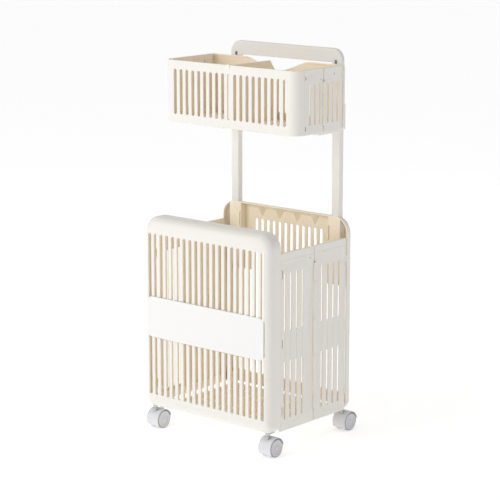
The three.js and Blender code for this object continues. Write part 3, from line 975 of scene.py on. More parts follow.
@dataclass(frozen=True)
class Leaf:
    """One of the two leaves of a basket's side, drawn for the right.

    Attributes:
        hinge: The hinge line that it belongs to.
        up: Its place along Z.
        front: Whether it is the front one of the two.
        rows: The spans of its rows of slots.
        slots: How many slots each row has.
        first: The first slot's middle along Y.
        pitch: From one slot to the next.
        width: The slots' width.
        holes: Small round holes, as places along Y and Z.
        band: The height of the proud band along its top edge.
    """

    hinge: Hinge
    up: Span
    front: bool
    rows: tuple[Span, ...]
    slots: int
    first: float
    pitch: float
    width: float
    holes: tuple[Point, ...] = ()
    band: float = 0.0

    def made(self) -> Mesh:
        """Makes the leaf."""
        h = self.hinge
        pin = h.front_pin if self.front else h.rear_pin
        towards = 1 if self.front else -1
        free = h.middle - towards * 0.001
        y = tuple(sorted((pin, free)))
        inner = h.outer - h.thick
        body = prism(self.plan(inner, pin, free), self.up, Axis.Z, 0.0008, steps=3)
        border, skin = 0.0085, 0.003
        through = (inner - 0.001, h.outer - skin)
        pockets = [(low - 0.006, high + 0.006) for low, high in self.rows]
        if len(self.rows) > 1:
            pockets.append((self.rows[0][1] + 0.012, self.rows[1][0] - 0.012))
        for low, high in pockets:
            outline = rounded_box((y[0] + border, y[1] - border), (low, high), 0.003, 0.003, 4)
            body = cut(body, prism(outline, through, Axis.X))
        depth = (h.outer - skin, h.outer)
        for low, high in self.rows:
            row = slot_row(low, high, self.width, depth, Axis.X, self.slots, self.first, self.pitch, 0.0006)
            body = cut(body, row)
        if len(self.rows) > 1:
            body = cut(body, self.grooves())
        if self.band:
            body = cut(body, self.band_step(y))
        for at_y, at_z in self.holes:
            body = cut(body, rod((at_y, at_z), 0.0019, (inner - 0.001, h.outer + 0.002), Axis.X, 0, 20))
        middle, corner = (h.middle_x, h.middle), (h.corner_x, pin)
        for i, (low, high) in enumerate(zip(h.seams, h.seams[1:])):
            low, high = low + GAP, high - GAP
            if (i % 2 == 0) == (not self.front):
                body = joined(body, rod(middle, h.knuckle, (low, high), Axis.Z, 0.0006))
            else:
                notch = (low - 2 * GAP, high + 2 * GAP)
                body = cut(body, rod(middle, h.knuckle + 0.0006, notch, Axis.Z, 0))
        full = (self.up[0] - 0.01, self.up[1] + 0.01)
        body = cut(body, rod(middle, h.bore, full, Axis.Z, 0), rod(corner, h.bore, full, Axis.Z, 0))
        for low, high in h.ears:
            body = cut(body, rod(corner, h.knuckle + 0.0013, (low - GAP, high + GAP), Axis.Z, 0))
        return body

    def plan(self, inner: float, pin: float, free: float) -> list[Point]:
        """Draws the leaf from above: square at the middle, round at the corner pin."""
        h = self.hinge
        half = h.thick / 2
        if self.front:
            nose = arc((h.corner_x, pin), half, 180, 360, 14)
            return nose + [(h.outer, free - 0.0006), (h.outer - 0.0006, free), (inner, free)]
        nose = arc((h.corner_x, pin), half, 0, 180, 14)
        return nose + [(inner, free), (h.outer - 0.0006, free), (h.outer, free + 0.0006)]

    def grooves(self) -> Mesh:
        """Makes the cutter for the faint lines that join the two rows of slots."""
        low, high = self.rows[0][1] + 0.004, self.rows[1][0] - 0.004
        depth = (self.hinge.outer - 0.0006, self.hinge.outer + 0.001)
        one = prism(slot_outline(0, low, high, 0.0018, 4), depth, Axis.X)
        return ROW.of(one, self.slots, (0, self.first, 0), (0, self.pitch, 0))

    def band_step(self, y: Span) -> Mesh:
        """Makes the cutter for the fine line under the band along the top edge."""
        edge = self.up[1] - self.band
        wide = (self.hinge.outer - 0.0006, self.hinge.outer + 0.001)
        return block(wide, (y[0] - 0.01, y[1] + 0.01), (edge - 0.0009, edge + 0.0009), 0.0002)


def pin_mesh(middle: Point, span: Span) -> Mesh:
    """Makes a hinge pin with a domed head at its top."""
    radius = 0.0018
    low, high = span
    profile = [
        (0, low), (radius - 0.0005, low), (radius, low + 0.0006), (radius, high - 0.001),
        (radius * 0.8, high - 0.0003), (radius * 0.4, high), (0, high),
    ]
    return turned(profile, Vector((middle[0], middle[1], 0)), Axis.Z, 24)


@dataclass(frozen=True)
class Side:
    """Both sides of one basket: four leaves and their pins."""

    name: str
    hinge: Hinge
    front: Leaf
    rear: Leaf
    folds: bool
    room: Room

    def build(self, palette: Palette) -> None:
        """Makes and dresses the leaves and pins of both sides."""
        for hand in Hand:
            for leaf, row in ((self.front, "front"), (self.rear, "rear")):
                node = f"{self.name}_{hand.word}_{row}_leaf"
                body = f"{hand.word}_{row}_leaf" if self.folds else "frame"
                shell = piece(f"{node}_shell", handed(leaf.made(), hand), palette.shell, body, "shell", node)
                # The faces that look into the basket get the painted warm inner shade.
                self.room.line(shell, palette.inside)
            self.pins(hand, palette)

    def pins(self, hand: Hand, palette: Palette) -> None:
        """Makes the three pins of one side."""
        h = self.hinge
        low, high = self.front.up
        tall = (low + 0.006, high - 0.014)
        short = (h.seams[0] - 0.003, h.seams[-1] + 0.003)
        places = {
            "middle": ((h.middle_x, h.middle), short, f"{hand.word}_rear_leaf"),
            "front": ((h.corner_x, h.front_pin), tall, "front_face"),
            "rear": ((h.corner_x, h.rear_pin), tall, "frame"),
        }
        for place, (middle, span, body) in places.items():
            node = f"{self.name}_{hand.word}_{place}_pin"
            mesh = pin_mesh((hand.value * middle[0], middle[1]), span)
            piece(f"{node}_bar", mesh, palette.steel, body if self.folds else "frame", "steel", node)


# ---- Lower basket ------------------------------------------------------------------


@dataclass(frozen=True)
class Basket:
    """What both baskets share: the box that they take up, and how their shells are dressed.

    Attributes:
        half: Half its width.
        front: The plane of its front.
        back: The plane of its back.
        up: Its place along Z.
    """

    half: float
    front: float
    back: float
    up: Span

    @property
    def room(self) -> Room:
        """The box that the basket takes up."""
        return Room((-self.half, self.front, self.up[0]), (self.half, self.back, self.up[1]))

    def dressed(self, name: str, mesh: Mesh, palette: Palette, body: str, node: str) -> None:
        """Makes a piece of the shell, with painted warm shade on the faces that look inwards.

        Args:
            name: The piece's name.
            mesh: Its closed mesh.
            palette: The finishes.
            body: The body that carries it.
            node: The CAD node that it replaces.
        """
        self.room.line(piece(name, mesh, palette.shell, body, "shell", node), palette.inside)


@dataclass(frozen=True)
class LowerBasket(Basket):
    """The deep folding basket: front, rear, sides, floor and plate."""

    half: float = 0.210
    front: float = -0.177
    back: float = 0.153
    up: Span = (0.062, 0.564)
    side_top: float = 0.513
    front_rim: float = -0.1325
    rear_rim: float = 0.130
    slots: int = 20
    pitch: float = 0.0198
    slot_width: float = 0.0095
    slot_up: Span = (0.097, 0.521)
    wall: float = 0.003
    bar: float = 0.0068
    stem_x: float = 0.1905
    stem_front: float = -0.1585
    stem_rear: float = 0.140
    post_x: float = 0.1685
    post_y: float = 0.1405
    post_bottom: float = 0.405
    stem_bore: float = 0.0058
    corner_hole: Span = (0.066, 0.500)
    lug: Span = (0.1782, 0.1822)
    short_slot_top: float = 0.380
    floor_pin_y: float = 0.140

    @property
    def hinge(self) -> Hinge:
        """The hinge line of its sides."""
        return Hinge(self.half - 0.001, self.front_rim + 0.0055, self.rear_rim - 0.005,
                     (0.094, 0.128, 0.233, 0.331, 0.426, 0.472),
                     ((0.104, 0.124), (0.276, 0.296), (0.450, 0.470)))

    def build(self, palette: Palette) -> None:
        """Makes and dresses the whole basket."""
        self.front_panel(palette)
        self.label(palette)
        for hand in Hand:
            self.catch(hand, palette)
        self.rear_panel(palette)
        self.floor(palette)
        shared = {
            "hinge": self.hinge, "up": (self.up[0], self.side_top), "rows": ((0.091, 0.238), (0.314, 0.461)),
            "slots": 4, "pitch": 0.0225, "width": 0.007, "band": 0.018,
        }
        front = Leaf(front=True, first=-0.115, holes=((-0.0175, 0.485),), **shared)
        rear = Leaf(front=False, first=0.0315, holes=((0.037, 0.494),), **shared)
        Side("lower", self.hinge, front, rear, True, self.room).build(palette)

    def stem_boss(self, y: float, outline: Mesh) -> Mesh:
        """Makes the boss that grips a caster's stem, kept inside the panel's outline."""
        boss = rod((self.stem_x, y), 0.011, (self.up[0], 0.090), Axis.Z, 0.001)
        return combined(boss, outline, Join.KEEP)

    def stem_hole(self, hand: Hand, y: float, bottom: float) -> Mesh:
        """Makes the cutter for a caster stem's hole."""
        return rod((hand.value * self.stem_x, y), self.stem_bore, (bottom, 0.086), Axis.Z, 0)

    def front_panel(self, palette: Palette) -> None:
        """Makes the soft-edged slotted front.

        Args:
            palette: The finishes.
        """
        tray = Tray((-self.half, self.half), self.up, self.front, self.front_rim, 0.020, 0.040, 0.020)
        body = tray.made(self.wall, self.bar)
        face = (self.front, self.front + self.bar)
        low, high = self.slot_up
        body = cut(body, slot_row(low, high, self.slot_width, face, Axis.Y, self.slots,
                                  spread(self.slots, self.pitch), self.pitch, 0.0014))
        recess = moved_out(self.label_outline(), 0.0014)
        body = cut(body, prism(recess, (self.front - 0.001, self.front + 0.002), Axis.Y))
        pin = self.hinge.front_pin
        for hand in Hand:
            outline = tray.shell(0.0005, self.front + 0.0005, self.front_rim)
            body = joined(body, handed(self.stem_boss(self.stem_front, outline), hand))
            body = self.hinge.with_ears(body, hand, pin, self.front_rim)
            body = cut(body, handed(self.hinge.corner_bore(pin, self.corner_hole), hand),
                       self.stem_hole(hand, self.stem_front, 0.05))
        self.dressed("front_panel_shell", body, palette, "front_face", "front_panel")

    def catch(self, hand: Hand, palette: Palette) -> None:
        """Makes the hook under the front panel that catches the floor's side edge."""
        foot, tip = 0.052, self.front_rim + 0.014
        web = block(self.lug, (self.front_rim - 0.017, tip), (foot, self.up[0] - GAP))
        tongue = block((0.166, self.lug[1]), (self.front_rim + 0.001, tip), (foot, foot + 0.003))
        mesh = handed(joined(web, tongue), hand)
        node = f"{hand.word}_floor_catch"
        piece(f"{node}_hook", mesh, palette.shell, "front_face", "shell", node)

    @staticmethod
    def label_outline() -> list[Point]:
        """Draws the plate's rounded outline."""
        low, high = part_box("label_plate")
        return tidy_outline(rounded_box((low.x, high.x), (low.z, high.z), 0.014, 0.014, 12))

    def label(self, palette: Palette) -> None:
        """Makes the plain plate on the front."""
        low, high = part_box("label_plate")
        mesh = prism(self.label_outline(), (low.y, high.y), Axis.Y, 0.0008)
        piece("label_plate_face", mesh, palette.label, "front_face", "label", "label_plate")

    def corbels(self, outline: Mesh) -> Mesh:
        """Makes the row of upside-down pyramids that stiffen the rear panel's lip."""
        wall, lip, top, foot = self.back - 0.002, self.rear_rim + 0.0008, self.up[1] - 0.0015, 0.526
        half = 0.024
        bm = bmesh.new()
        corners = [bm.verts.new(p) for p in (
            (-half, wall, top), (half, wall, top), (0, lip, top), (0, wall, foot))]
        for a, b, c in ((0, 1, 2), (0, 3, 1), (1, 3, 2), (2, 3, 0)):
            bm.faces.new((corners[a], corners[b], corners[c]))
        one = mesh_from(bm)
        pitch = 3 * self.pitch
        return combined(ROW.of(one, 4, (spread(4, pitch), 0, 0), (pitch, 0, 0)), outline, Join.KEEP)

    def rear_panel(self, palette: Palette) -> None:
        """Makes the slotted rear with its post sockets and corbels.

        Args:
            palette: The finishes.
        """
        tray = Tray((-self.half, self.half), self.up, self.back, self.rear_rim, 0.020, 0.040, 0.014)
        body = tray.made(self.wall, self.wall)
        rim, width, pin = self.rear_rim, self.slot_width, self.hinge.rear_pin
        floor_way = block((-0.179, 0.179), (rim - 0.001, self.back - 0.004), (0.061, 0.066))
        corner_way = block((-0.179, 0.179), (rim - 0.001, 0.146), (0.061, 0.074))
        body = cut(body, floor_way, corner_way)
        face = (self.back - self.wall, self.back)
        low, high = self.slot_up
        middle_first, left_first, right_first = spread(12, self.pitch), -9.5 * self.pitch, 6.5 * self.pitch
        body = cut(
            body,
            slot_row(low, high, width, face, Axis.Y, 12, middle_first, self.pitch),
            slot_row(low, self.short_slot_top, width, face, Axis.Y, 4, right_first, self.pitch),
            slot_row(low, self.short_slot_top, width, face, Axis.Y, 4, left_first, self.pitch),
        )

        def outline() -> Mesh:
            """Makes the solid that everything inside the tray is kept within."""
            return tray.shell(0.0004, self.back - 0.0004, rim)

        body = joined(body, self.corbels(outline()))
        deep = (rim + 0.003, self.back - self.wall)
        for hand in Hand:
            socket = block((0.146, 0.186), (rim + 0.0001, self.back), (0.396, 0.563), 0.0015)
            lug = block((self.lug[0], 0.183), deep, (0.063, 0.078))
            added = [
                combined(socket, outline(), Join.KEEP),
                combined(lug, outline(), Join.KEEP),
                block(self.lug, deep, (0.0525, 0.067)),
                self.stem_boss(self.stem_rear, outline()),
            ]
            body = joined(body, *[handed(m, hand) for m in added])
            body = self.hinge.with_ears(body, hand, pin, rim)
            post = block((self.post_x - 0.0128, self.post_x + 0.0128),
                         (self.post_y - 0.0088, self.post_y + 0.0088), (self.post_bottom - GAP, 0.570))
            slit = block((0.149, 0.1514), (rim - 0.001, rim + 0.008), (0.500, 0.538), 0.0003)
            body = cut(body, handed(post, hand), handed(slit, hand),
                       handed(self.hinge.corner_bore(pin, self.corner_hole), hand),
                       self.stem_hole(hand, self.stem_rear, 0.045))
        body = cut(body, rod((self.floor_pin_y, 0.0585), 0.0021, (-0.19, 0.19), Axis.X, 0))
        self.dressed("rear_panel_shell", body, palette, "frame", "rear_panel")

    def floor(self, palette: Palette) -> None:
        """Makes the tip-up floor with its drain slots, and its hinge rod.

        Args:
            palette: The finishes.
        """
        low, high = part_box("floor_panel")
        pin = (self.floor_pin_y, (low.z + high.z) / 2)
        outline = rounded_box((low.y, pin[0]), (low.z, high.z), 0.0012, 0.0012, 3)
        plate = prism(outline, (low.x, high.x), Axis.X, 0.0008)
        barrel = rod(pin, (high.z - low.z) / 2, (low.x, high.x), Axis.X, 0.0006)
        body = joined(plate, barrel)
        centre, pitch = (low.y + pin[0]) / 2, 2 * self.pitch
        for row in (-1, 1):
            y = centre + row * 0.062
            ends = (y - 0.048, y + 0.048)
            body = cut(body, slot_row(*ends, 0.008, (low.z, high.z), Axis.Z, 8, spread(8, pitch), pitch))
        body = cut(body, rod(pin, 0.0024, (low.x - 0.01, high.x + 0.01), Axis.X, 0))
        self.dressed("floor_panel_plate", body, palette, "floor", "floor_panel")
        bar = turned(bar_profile(0.0018, 0.182, 0.0005), Vector((0, *pin)), Axis.X, 24)
        piece("floor_hinge_bar", bar, palette.steel, "frame", "steel", "floor_hinge_rod")


# ---- Upper basket ------------------------------------------------------------------


@dataclass(frozen=True)
class UpperBasket(Basket):
    """The shallow divided basket on the posts."""

    half: float = 0.219
    front: float = -0.085
    back: float = 0.105
    up: Span = (0.795, 0.954)
    corner: float = 0.026
    front_rim: float = -0.058
    rear_rim: float = 0.097
    slots: int = 19
    pitch: float = 0.020
    slot_up: Span = (0.817, 0.932)
    slot_width: float = 0.0095
    corner_hole: Span = (0.799, 0.942)
    wall: float = 0.003
    scoop: float = 0.029
    scoop_half: float = 0.108

    @property
    def hinge(self) -> Hinge:
        """The hinge line of its sides."""
        return Hinge(self.half - 0.001, self.front_rim + 0.0055, self.rear_rim - 0.005,
                     (0.812, 0.838, 0.864, 0.890, 0.922), ((0.806, 0.816), (0.930, 0.938)))

    def build(self, palette: Palette) -> None:
        """Makes and dresses the whole basket."""
        self.front_panel(palette)
        self.rear_panel(palette)
        self.floor(palette)
        self.divider(palette)
        shared = {"hinge": self.hinge, "up": self.up, "rows": ((0.818, 0.919),), "slots": 3, "width": 0.0055}
        front = Leaf(front=True, first=-0.033, pitch=0.019, holes=((0.008, 0.928),), **shared)
        rear = Leaf(front=False, first=0.037, pitch=0.0185, holes=((0.061, 0.940), (0.061, 0.936)), **shared)
        Side("upper", self.hinge, front, rear, False, self.room).build(palette)

    def ledges(self, deep: Span) -> Mesh:
        """Makes the three short ledges that a panel holds under the floor."""
        ledge = block((-0.012, 0.012), deep, (self.up[0] + 0.0001, self.up[0] + 0.002))
        return ROW.of(ledge, 3, (-0.12, 0, 0), (0.12, 0, 0))

    def front_panel(self, palette: Palette) -> None:
        """Makes the slotted front that wraps round both corners.

        Args:
            palette: The finishes.
        """
        outer = tidy_outline(
            rounded_box((-self.half, self.half), (self.front, self.back), self.corner, 0.008, 16))
        inner = moved_out(outer, -self.wall)
        rings = []
        for end, radius, sign in ((self.up[0], 0.0026, 1), (self.up[1], 0.0012, -1)):
            turn = [math.pi / 2 * i / 5 for i in range(6)]
            curve = [(end + sign * radius * (1 - math.cos(t)), radius * (1 - math.sin(t))) for t in turn]
            rings += curve if sign > 0 else curve[::-1]
        wall = loft([[placed(p, z, Axis.Z) for p in moved_out(outer, -inset)] for z, inset in rings])
        body = cut(wall, prism(inner, (self.up[0] - 0.01, self.up[1] + 0.01), Axis.Z))
        keep = block((-0.3, 0.3), (self.front - 0.01, self.front_rim), (0.7, 1.0))
        body = combined(body, keep, Join.KEEP)
        low, high = self.slot_up
        inside = self.front + self.wall
        body = cut(body, slot_row(low, high, self.slot_width, (self.front, inside), Axis.Y, self.slots,
                                  spread(self.slots, self.pitch), self.pitch, 0.001))
        body = joined(body, self.ledges((inside - 0.001, inside + 0.008)))
        pin = self.hinge.front_pin
        for hand in Hand:
            body = self.hinge.with_ears(body, hand, pin, self.front_rim)
            body = cut(body, handed(self.hinge.corner_bore(pin, self.corner_hole), hand))
        self.dressed("upper_front_shell", body, palette, "frame", "upper_front_panel")

    def scoop_cutter(self) -> Mesh:
        """Makes the cutter for the dish in the rear panel's top edge."""
        steps = 40
        top = self.up[1]
        curve = []
        for i in range(steps + 1):
            x = -self.scoop_half + 2 * self.scoop_half * i / steps
            depth = self.scoop * (0.5 + 0.5 * math.cos(math.pi * x / self.scoop_half)) ** 0.8
            curve.append((x, top - depth))
        outline = curve + [(self.scoop_half, top + 0.01), (-self.scoop_half, top + 0.01)]
        return prism(outline, (self.rear_rim - 0.01, self.back + 0.01), Axis.Y)

    def rear_panel(self, palette: Palette) -> None:
        """Makes the rear with its dished top edge."""
        tray = Tray((-self.half, self.half), self.up, self.back, self.rear_rim, 0.006, 0.006, 0.004)
        body = cut(tray.made(self.wall, self.wall), self.scoop_cutter())
        face = (self.back - self.wall, self.back)
        first = spread(16, self.pitch)
        row = slot_row(self.slot_up[0], 0.905, self.slot_width, face, Axis.Y, 16, first, self.pitch)
        body = joined(cut(body, row), self.ledges((self.rear_rim - 0.008, self.rear_rim + 0.003)))
        pin = self.hinge.rear_pin
        for hand in Hand:
            ears = [combined(ear, tray.shell(-0.010, self.back - 0.001, self.rear_rim - 0.02), Join.KEEP)
                    for ear in self.hinge.corner_ears(pin, self.rear_rim)]
            body = joined(body, *[handed(ear, hand) for ear in ears])
            body = cut(body, handed(self.hinge.corner_bore(pin, self.corner_hole), hand))
        self.dressed("upper_rear_shell", body, palette, "frame", "upper_rear_panel")

    def floor(self, palette: Palette) -> None:
        """Makes the floor with its drain slots."""
        low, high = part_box("upper_floor")
        outline = rounded_box((low.x, high.x), (low.y, high.y), self.corner - self.wall, 0.001, 10)
        body = prism(outline, (low.z, high.z), Axis.Z, 0.0006)
        centre, pitch = (low.y + high.y) / 2, 2 * self.pitch
        for row in (-1, 1):
            y = centre + row * 0.042
            ends, deep = (y - 0.026, y + 0.026), (low.z, high.z)
            body = cut(body, slot_row(*ends, 0.008, deep, Axis.Z, 8, spread(8, pitch), pitch, 0.0006))
        self.dressed("upper_floor_plate", body, palette, "frame", "upper_floor")

    def divider(self, palette: Palette) -> None:
        """Makes the lift-out divider with its two flanges and its hook over the rim.

        Args:
            palette: The finishes.
        """
        low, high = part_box("divider")
        front, back = self.front + self.wall + GAP, high.y
        foot, crest = low.z, self.up[1] - 0.001
        rear_top = self.up[1] - self.scoop - 0.002
        outline = [(front, foot), (back, foot), (back, rear_top), (back - 0.022, crest), (front, crest)]
        web = prism(outline, (-0.0015, 0.0015), Axis.X, 0.0005)
        rim = self.up[1] + GAP
        top, flange, hook = rim + 0.0015, (-0.007, 0.007), (-0.004, 0.004)
        parts = [
            block(flange, (front, front + 0.002), (foot, crest), 0.0005),
            block(flange, (back - 0.002, back), (foot, rear_top), 0.0005),
            block(hook, (front, front + 0.002), (crest - 0.002, top), 0.0004),
            block(hook, (low.y, front + 0.002), (rim, top), 0.0004),
            block(hook, (low.y, low.y + 0.0012), (self.up[1] - 0.008, top), 0.0003),
        ]
        self.dressed("divider_plate", joined(web, *parts), palette, "divider", "divider")


# ---- Posts, brackets and handle ----------------------------------------------------


@dataclass(frozen=True)
class Stand:
    """What carries the upper basket: posts, brackets and the handle board."""

    post_x: float = 0.1685
    post_y: float = 0.1405
    post_top: float = 0.934
    handle_half: float = 0.184
    handle_top: float = 0.989
    handle_under: float = 0.953
    thick: float = 0.012
    leg: float = 0.031

    def build(self, palette: Palette) -> None:
        """Makes and dresses the whole stand."""
        self.handle(palette)
        for hand in Hand:
            self.post(hand, palette)
            self.bracket(hand, palette)
            self.clip(hand, palette)

    def around_post(self, grow: float, span: Span, corner: float, edge: float) -> Mesh:
        """Makes a solid of the post's section, grown on all sides."""
        x, y = 0.0125 + grow, 0.0085 + grow
        across = (self.post_x - x, self.post_x + x)
        outline = rounded_box(across, (self.post_y - y, self.post_y + y), corner, corner, 6)
        return prism(outline, span, Axis.Z, edge)

    def post(self, hand: Hand, palette: Palette) -> None:
        """Makes one hollow post."""
        low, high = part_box(f"{hand.word}_post")
        tube = self.around_post(0, (low.z, high.z), 0.0025, 0.0004)
        inside = self.around_post(-0.002, (low.z - 0.01, high.z + 0.01), 0.0015, 0)
        mesh = handed(cut(tube, inside), hand)
        piece(f"{hand.word}_post_tube", mesh, palette.shell, "frame", "shell", f"{hand.word}_post")

    def bracket(self, hand: Hand, palette: Palette) -> None:
        """Makes the bracket between a post and the upper basket."""
        behind, bottom, top, arm_top = 0.1053, 0.786, 0.850, 0.7947
        left, right = self.post_x - 0.0158, self.post_x + 0.0158
        sleeve = block((left, right), (behind, self.post_y + 0.0118), (bottom, top), 0.0018)
        arm = block((left - 0.004, 0.205), (0.020, behind + 0.004), (bottom, arm_top), 0.0018)
        deep = (behind + 0.004, self.post_y - 0.0118)
        pocket = block((left + 0.004, right - 0.004), deep, (arm_top, top + 0.01))
        hole = self.around_post(GAP, (bottom - 0.01, top + 0.01), 0.0025, 0)
        mesh = handed(cut(joined(sleeve, arm), hole, pocket), hand)
        piece(f"{hand.word}_bracket_shell", mesh, palette.shell, "frame", "shell", f"{hand.word}_bracket")

    def handle(self, palette: Palette) -> None:
        """Makes the handle board with its two legs and the tenons in the posts.

        Args:
            palette: The finishes.
        """
        y = (self.post_y - self.thick / 2, self.post_y + self.thick / 2)
        leg_bottom = self.post_top + GAP
        steps = 14
        half, inner = self.handle_half, self.handle_half - self.leg
        shoulder, armpit = 0.030, 0.008
        outside = arc((half - shoulder, self.handle_top - shoulder), shoulder, 0, 90, steps)
        outside += arc((-half + shoulder, self.handle_top - shoulder), shoulder, 90, 180, steps)
        under = arc((-inner + armpit, self.handle_under - armpit), armpit, 180, 90, 8)
        under += arc((inner - armpit, self.handle_under - armpit), armpit, 90, 0, 8)
        outline = [(half, leg_bottom)] + outside + [(-half, leg_bottom), (-inner, leg_bottom)] + under
        outline += [(inner, leg_bottom)]
        body = prism(outline, y, Axis.Y, 0.0028, steps=6)
        for hand in Hand:
            tenon = self.around_post(-0.0025, (self.post_top - 0.030, leg_bottom + 0.004), 0.0012, 0.0006)
            hole = rod((hand.value * 0.165, 0.9555), 0.0018, (y[0] - 0.002, y[0] + 0.009), Axis.Y, 0, 20)
            body = cut(joined(body, handed(tenon, hand)), hole)
        piece("handle_board_shell", body, palette.shell, "frame", "shell", "handle_board")

    def clip(self, hand: Hand, palette: Palette) -> None:
        """Makes the dark clip on the front of a handle leg."""
        low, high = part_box(f"{hand.word}_handle_clip")
        face = low.y + 0.0016
        head = rounded_box((low.x, high.x), (low.z, high.z), 0.0015, 0.0015, 5)
        plate = prism(head, (low.y, face), Axis.Y, 0.0005)
        middle = ((low.x + high.x) / 2, (low.z + high.z) / 2)
        shank = rod(middle, 0.0015, (face - 0.0005, high.y), Axis.Y, 0.0003, 20)
        mesh = joined(plate, shank)
        piece(f"{hand.word}_clip", mesh, palette.dark, "frame", "dark_steel", f"{hand.word}_handle_clip")


# ---- Casters -----------------------------------------------------------------------


@dataclass(frozen=True)
class Caster:
    """A twin-wheel caster: stem, hood, axle and two wheels."""

    row: str
    hand: Hand
    x: float
    y: float
    trail: float = 0.013
    radius: float = 0.024
    web: float = 0.006
    half: float = 0.0195
    cover: Span = (0.0249, 0.0269)

    @property
    def name(self) -> str:
        """The name that its nodes and bodies start with."""
        return f"{self.row}_{self.hand.word}_caster"

    @property
    def hub(self) -> Vector:
        """The point midway between the wheels on their axis."""
        return Vector((self.x, self.y + self.trail, self.radius))

    def build(self, palette: Palette) -> None:
        """Makes and dresses the caster."""
        name, fork = self.name, f"{self.name}_fork"
        carrier = "front_face" if self.row == "front" else "frame"
        piece(f"{name}_stem_bar", self.stem(), palette.steel, carrier, "steel", f"{name}_stem")
        piece(f"{name}_hood_shell", self.hood(), palette.hood, fork, "hood", f"{name}_hood")
        piece(f"{name}_axle_bar", self.axle(), palette.steel, fork, "steel", f"{name}_axle")
        for side in Hand:
            node = f"{name}_{side.word}_wheel"
            piece(f"{node}_disc", self.disc(side), palette.disc, node, "wheel")
            piece(f"{node}_tread", self.tread(side), palette.tread, node, "wheel", node)

    def stem(self) -> Mesh:
        """Makes the stem with its collar and kingpin."""
        profile = [
            (0, 0.032), (0.0026, 0.032), (0.003, 0.0326), (0.003, 0.0515),
            (0.0074, 0.0515), (0.0078, 0.0519), (0.0078, 0.0541), (0.0074, 0.0545),
            (0.0055, 0.0545), (0.0055, 0.084), (0.0045, 0.085), (0, 0.085),
        ]
        return turned(profile, Vector((self.x, self.y, 0)), Axis.Z, 40)

    def hood(self) -> Mesh:
        """Makes the curved cover and the web between the wheels."""
        centre = (self.y + self.trail, self.radius)
        inner, outer = self.cover
        band = arc(centre, outer, 10, 215, 48) + arc(centre, inner, 215, 10, 48)
        wide = (self.x - self.half - 0.0005, self.x + self.half + 0.0005)
        cover = prism(band, wide, Axis.X, 0.0007, steps=4)
        middle = arc(centre, outer - 0.0005, 12, 213, 48) + arc(centre, 0.008, 215, 370, 20)
        web = prism(middle, (self.x - self.web, self.x + self.web), Axis.X, 0.0006)
        bore = rod((self.x, self.y), 0.0033, (0.031, 0.06), Axis.Z, 0, 32)
        hole = rod(centre, 0.0025, (self.x - 0.02, self.x + 0.02), Axis.X, 0, 24)
        return cut(joined(cover, web), bore, hole)

    def axle(self) -> Mesh:
        """Makes the axle."""
        return turned(bar_profile(0.0022, 0.016, 0.0004), self.hub, Axis.X, 24)

    def disc(self, side: Hand) -> Mesh:
        """Makes a wheel's body: a dished outer face with a raised hub, and a blind bore."""
        far, near = self.half, self.web + 0.0005
        seat = 0.0212
        profile = [(0, far - 0.0004), (0.0045, far - 0.0004), (0.0052, far - 0.0008), (0.0058, far - 0.0016),
                   (0.0150, far - 0.0016), (0.0158, far - 0.0010), (0.0165, far - 0.0002), (0.0172, far),
                   (0.0204, far), (0.0210, far - 0.0003), (seat, far - 0.0009), (seat, near + 0.0007),
                   (0.0205, near), (0.0026, near), (0.0026, far - 0.003), (0, far - 0.003)]
        profile = [(r, side.value * along) for r, along in profile]
        return turned(profile, self.hub, Axis.X, 72)

    def tread(self, side: Hand) -> Mesh:
        """Makes a wheel's tyre, plain round and rounded at both shoulders."""
        far, near, seat = self.half, self.web + 0.0005, 0.0214
        profile = [
            (seat, far - 0.001), (0.0222, far - 0.0003), (0.0230, far - 0.0006), (0.0237, far - 0.0015),
            (self.radius, far - 0.003), (self.radius, near + 0.003), (0.0237, near + 0.0014),
            (0.0228, near + 0.0004), (seat, near + 0.0007),
        ]
        profile = [(r, side.value * along) for r, along in profile]
        return loft(rings_about(profile, self.hub, Axis.X, 72), closed=True)


# ---- Scene -------------------------------------------------------------------------


@dataclass(frozen=True)
class Viewpoint:
    """Where the camera stands, from a point near the sorter's middle."""

    target: Place = (0.0043, -0.0083, 0.4758)
    azimuth: float = 40.66
    elevation: float = 11.845
    distance: float = 4.894
    lens: float = 138.2

    def build(self) -> None:
        """Makes the camera and gives it to the scene."""
        turn, rise = math.radians(self.azimuth), math.radians(self.elevation)
        back = Vector((math.sin(turn) * math.cos(rise), -math.cos(turn) * math.cos(rise), math.sin(rise)))
        data = bpy.data.cameras.new("camera")
        data.lens = self.lens
        data.sensor_width = 36
        data.clip_end = 100
        camera = bpy.data.objects.new("camera", data)
        camera.location = Vector(self.target) + back * self.distance
        camera.rotation_euler = (-back).to_track_quat("-Z", "Y").to_euler()
        bpy.context.scene.collection.objects.link(camera)
        bpy.context.scene.camera = camera


@dataclass(frozen=True)
class Lamp:
    """One soft square lamp that looks at the sorter."""

    name: str
    place: Place
    size: float
    power: float
    colour: Colour = (1.0, 1.0, 1.0)

    def build(self) -> None:
        """Makes the lamp."""
        data = bpy.data.lights.new(self.name, "AREA")
        data.size = self.size
        data.energy = self.power
        data.color = self.colour
        lamp = bpy.data.objects.new(self.name, data)
        lamp.location = self.place
        aim = Vector((0, 0, 0.5)) - Vector(self.place)
        lamp.rotation_euler = aim.to_track_quat("-Z", "Y").to_euler()
        bpy.context.scene.collection.objects.link(lamp)


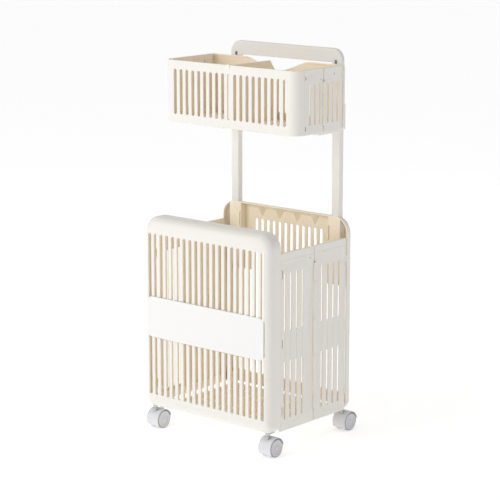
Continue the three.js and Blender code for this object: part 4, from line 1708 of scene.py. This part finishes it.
@dataclass(frozen=True)
class Backdrop:
    """The light that comes from all round: bright near the ground, dimmer above."""

    bright: float = 0.78
    dim: float = 0.24

    def build(self) -> None:
        """Makes the world and its gradient."""
        world = bpy.data.worlds.new("studio")
        world.use_nodes = True
        tree = world.node_tree
        sky = tree.nodes["Background"]
        place = tree.nodes.new("ShaderNodeTexCoord")
        split = tree.nodes.new("ShaderNodeSeparateXYZ")
        fade = tree.nodes.new("ShaderNodeMapRange")
        fade.interpolation_type = "SMOOTHSTEP"
        levels = {"From Min": 0.12, "From Max": 0.45, "To Min": self.bright, "To Max": self.dim}
        for socket, value in levels.items():
            fade.inputs[socket].default_value = value
        tree.links.new(place.outputs["Generated"], split.inputs[0])
        tree.links.new(split.outputs["Z"], fade.inputs["Value"])
        tree.links.new(fade.outputs["Result"], sky.inputs["Strength"])
        sky.inputs["Color"].default_value = (1, 1, 1, 1)
        bpy.context.scene.world = world


@dataclass(frozen=True)
class Studio:
    """The pale floor, the backdrop, the lamps and the soft light from overhead."""

    lamps: tuple[Lamp, ...] = (
        Lamp("key", (-1.5, -3.4, 2.0), 2.4, 54),
        Lamp("back", (-2.2, 2.6, 1.8), 1.8, 4),
    )
    overhead: float = 0.9
    floor_half: float = 14
    floor_thick: float = 0.02

    def build(self) -> None:
        """Makes the floor and every light."""
        half = self.floor_half
        corners = [(-half, -half), (half, -half), (half, half), (-half, half)]
        slab = loft([[(x, y, z) for x, y in corners] for z in (-self.floor_thick, 0)])
        floor = as_object(slab, "studio_floor")
        floor.data.materials.append(PaleFloor().material())
        Backdrop().build()
        bpy.context.scene.view_settings.view_transform = "Standard"
        for lamp in self.lamps:
            lamp.build()
        data = bpy.data.lights.new("overhead", "SUN")
        data.energy = self.overhead
        data.angle = math.radians(80)
        bpy.context.scene.collection.objects.link(bpy.data.objects.new("overhead", data))


def main() -> None:
    """Builds the sorter and its studio; each piece logs its face count as it is made."""
    logging.basicConfig(level=logging.INFO, format="%(message)s")
    Viewpoint().build()
    Studio().build()
    palette = mixed_palette()
    basket = LowerBasket()
    basket.build(palette)
    UpperBasket().build(palette)
    Stand().build(palette)
    for row, y in (("front", basket.stem_front), ("rear", basket.stem_rear)):
        for hand in Hand:
            Caster(row, hand, hand.value * basket.stem_x, y).build(palette)


if __name__ == "__main__":
    main()
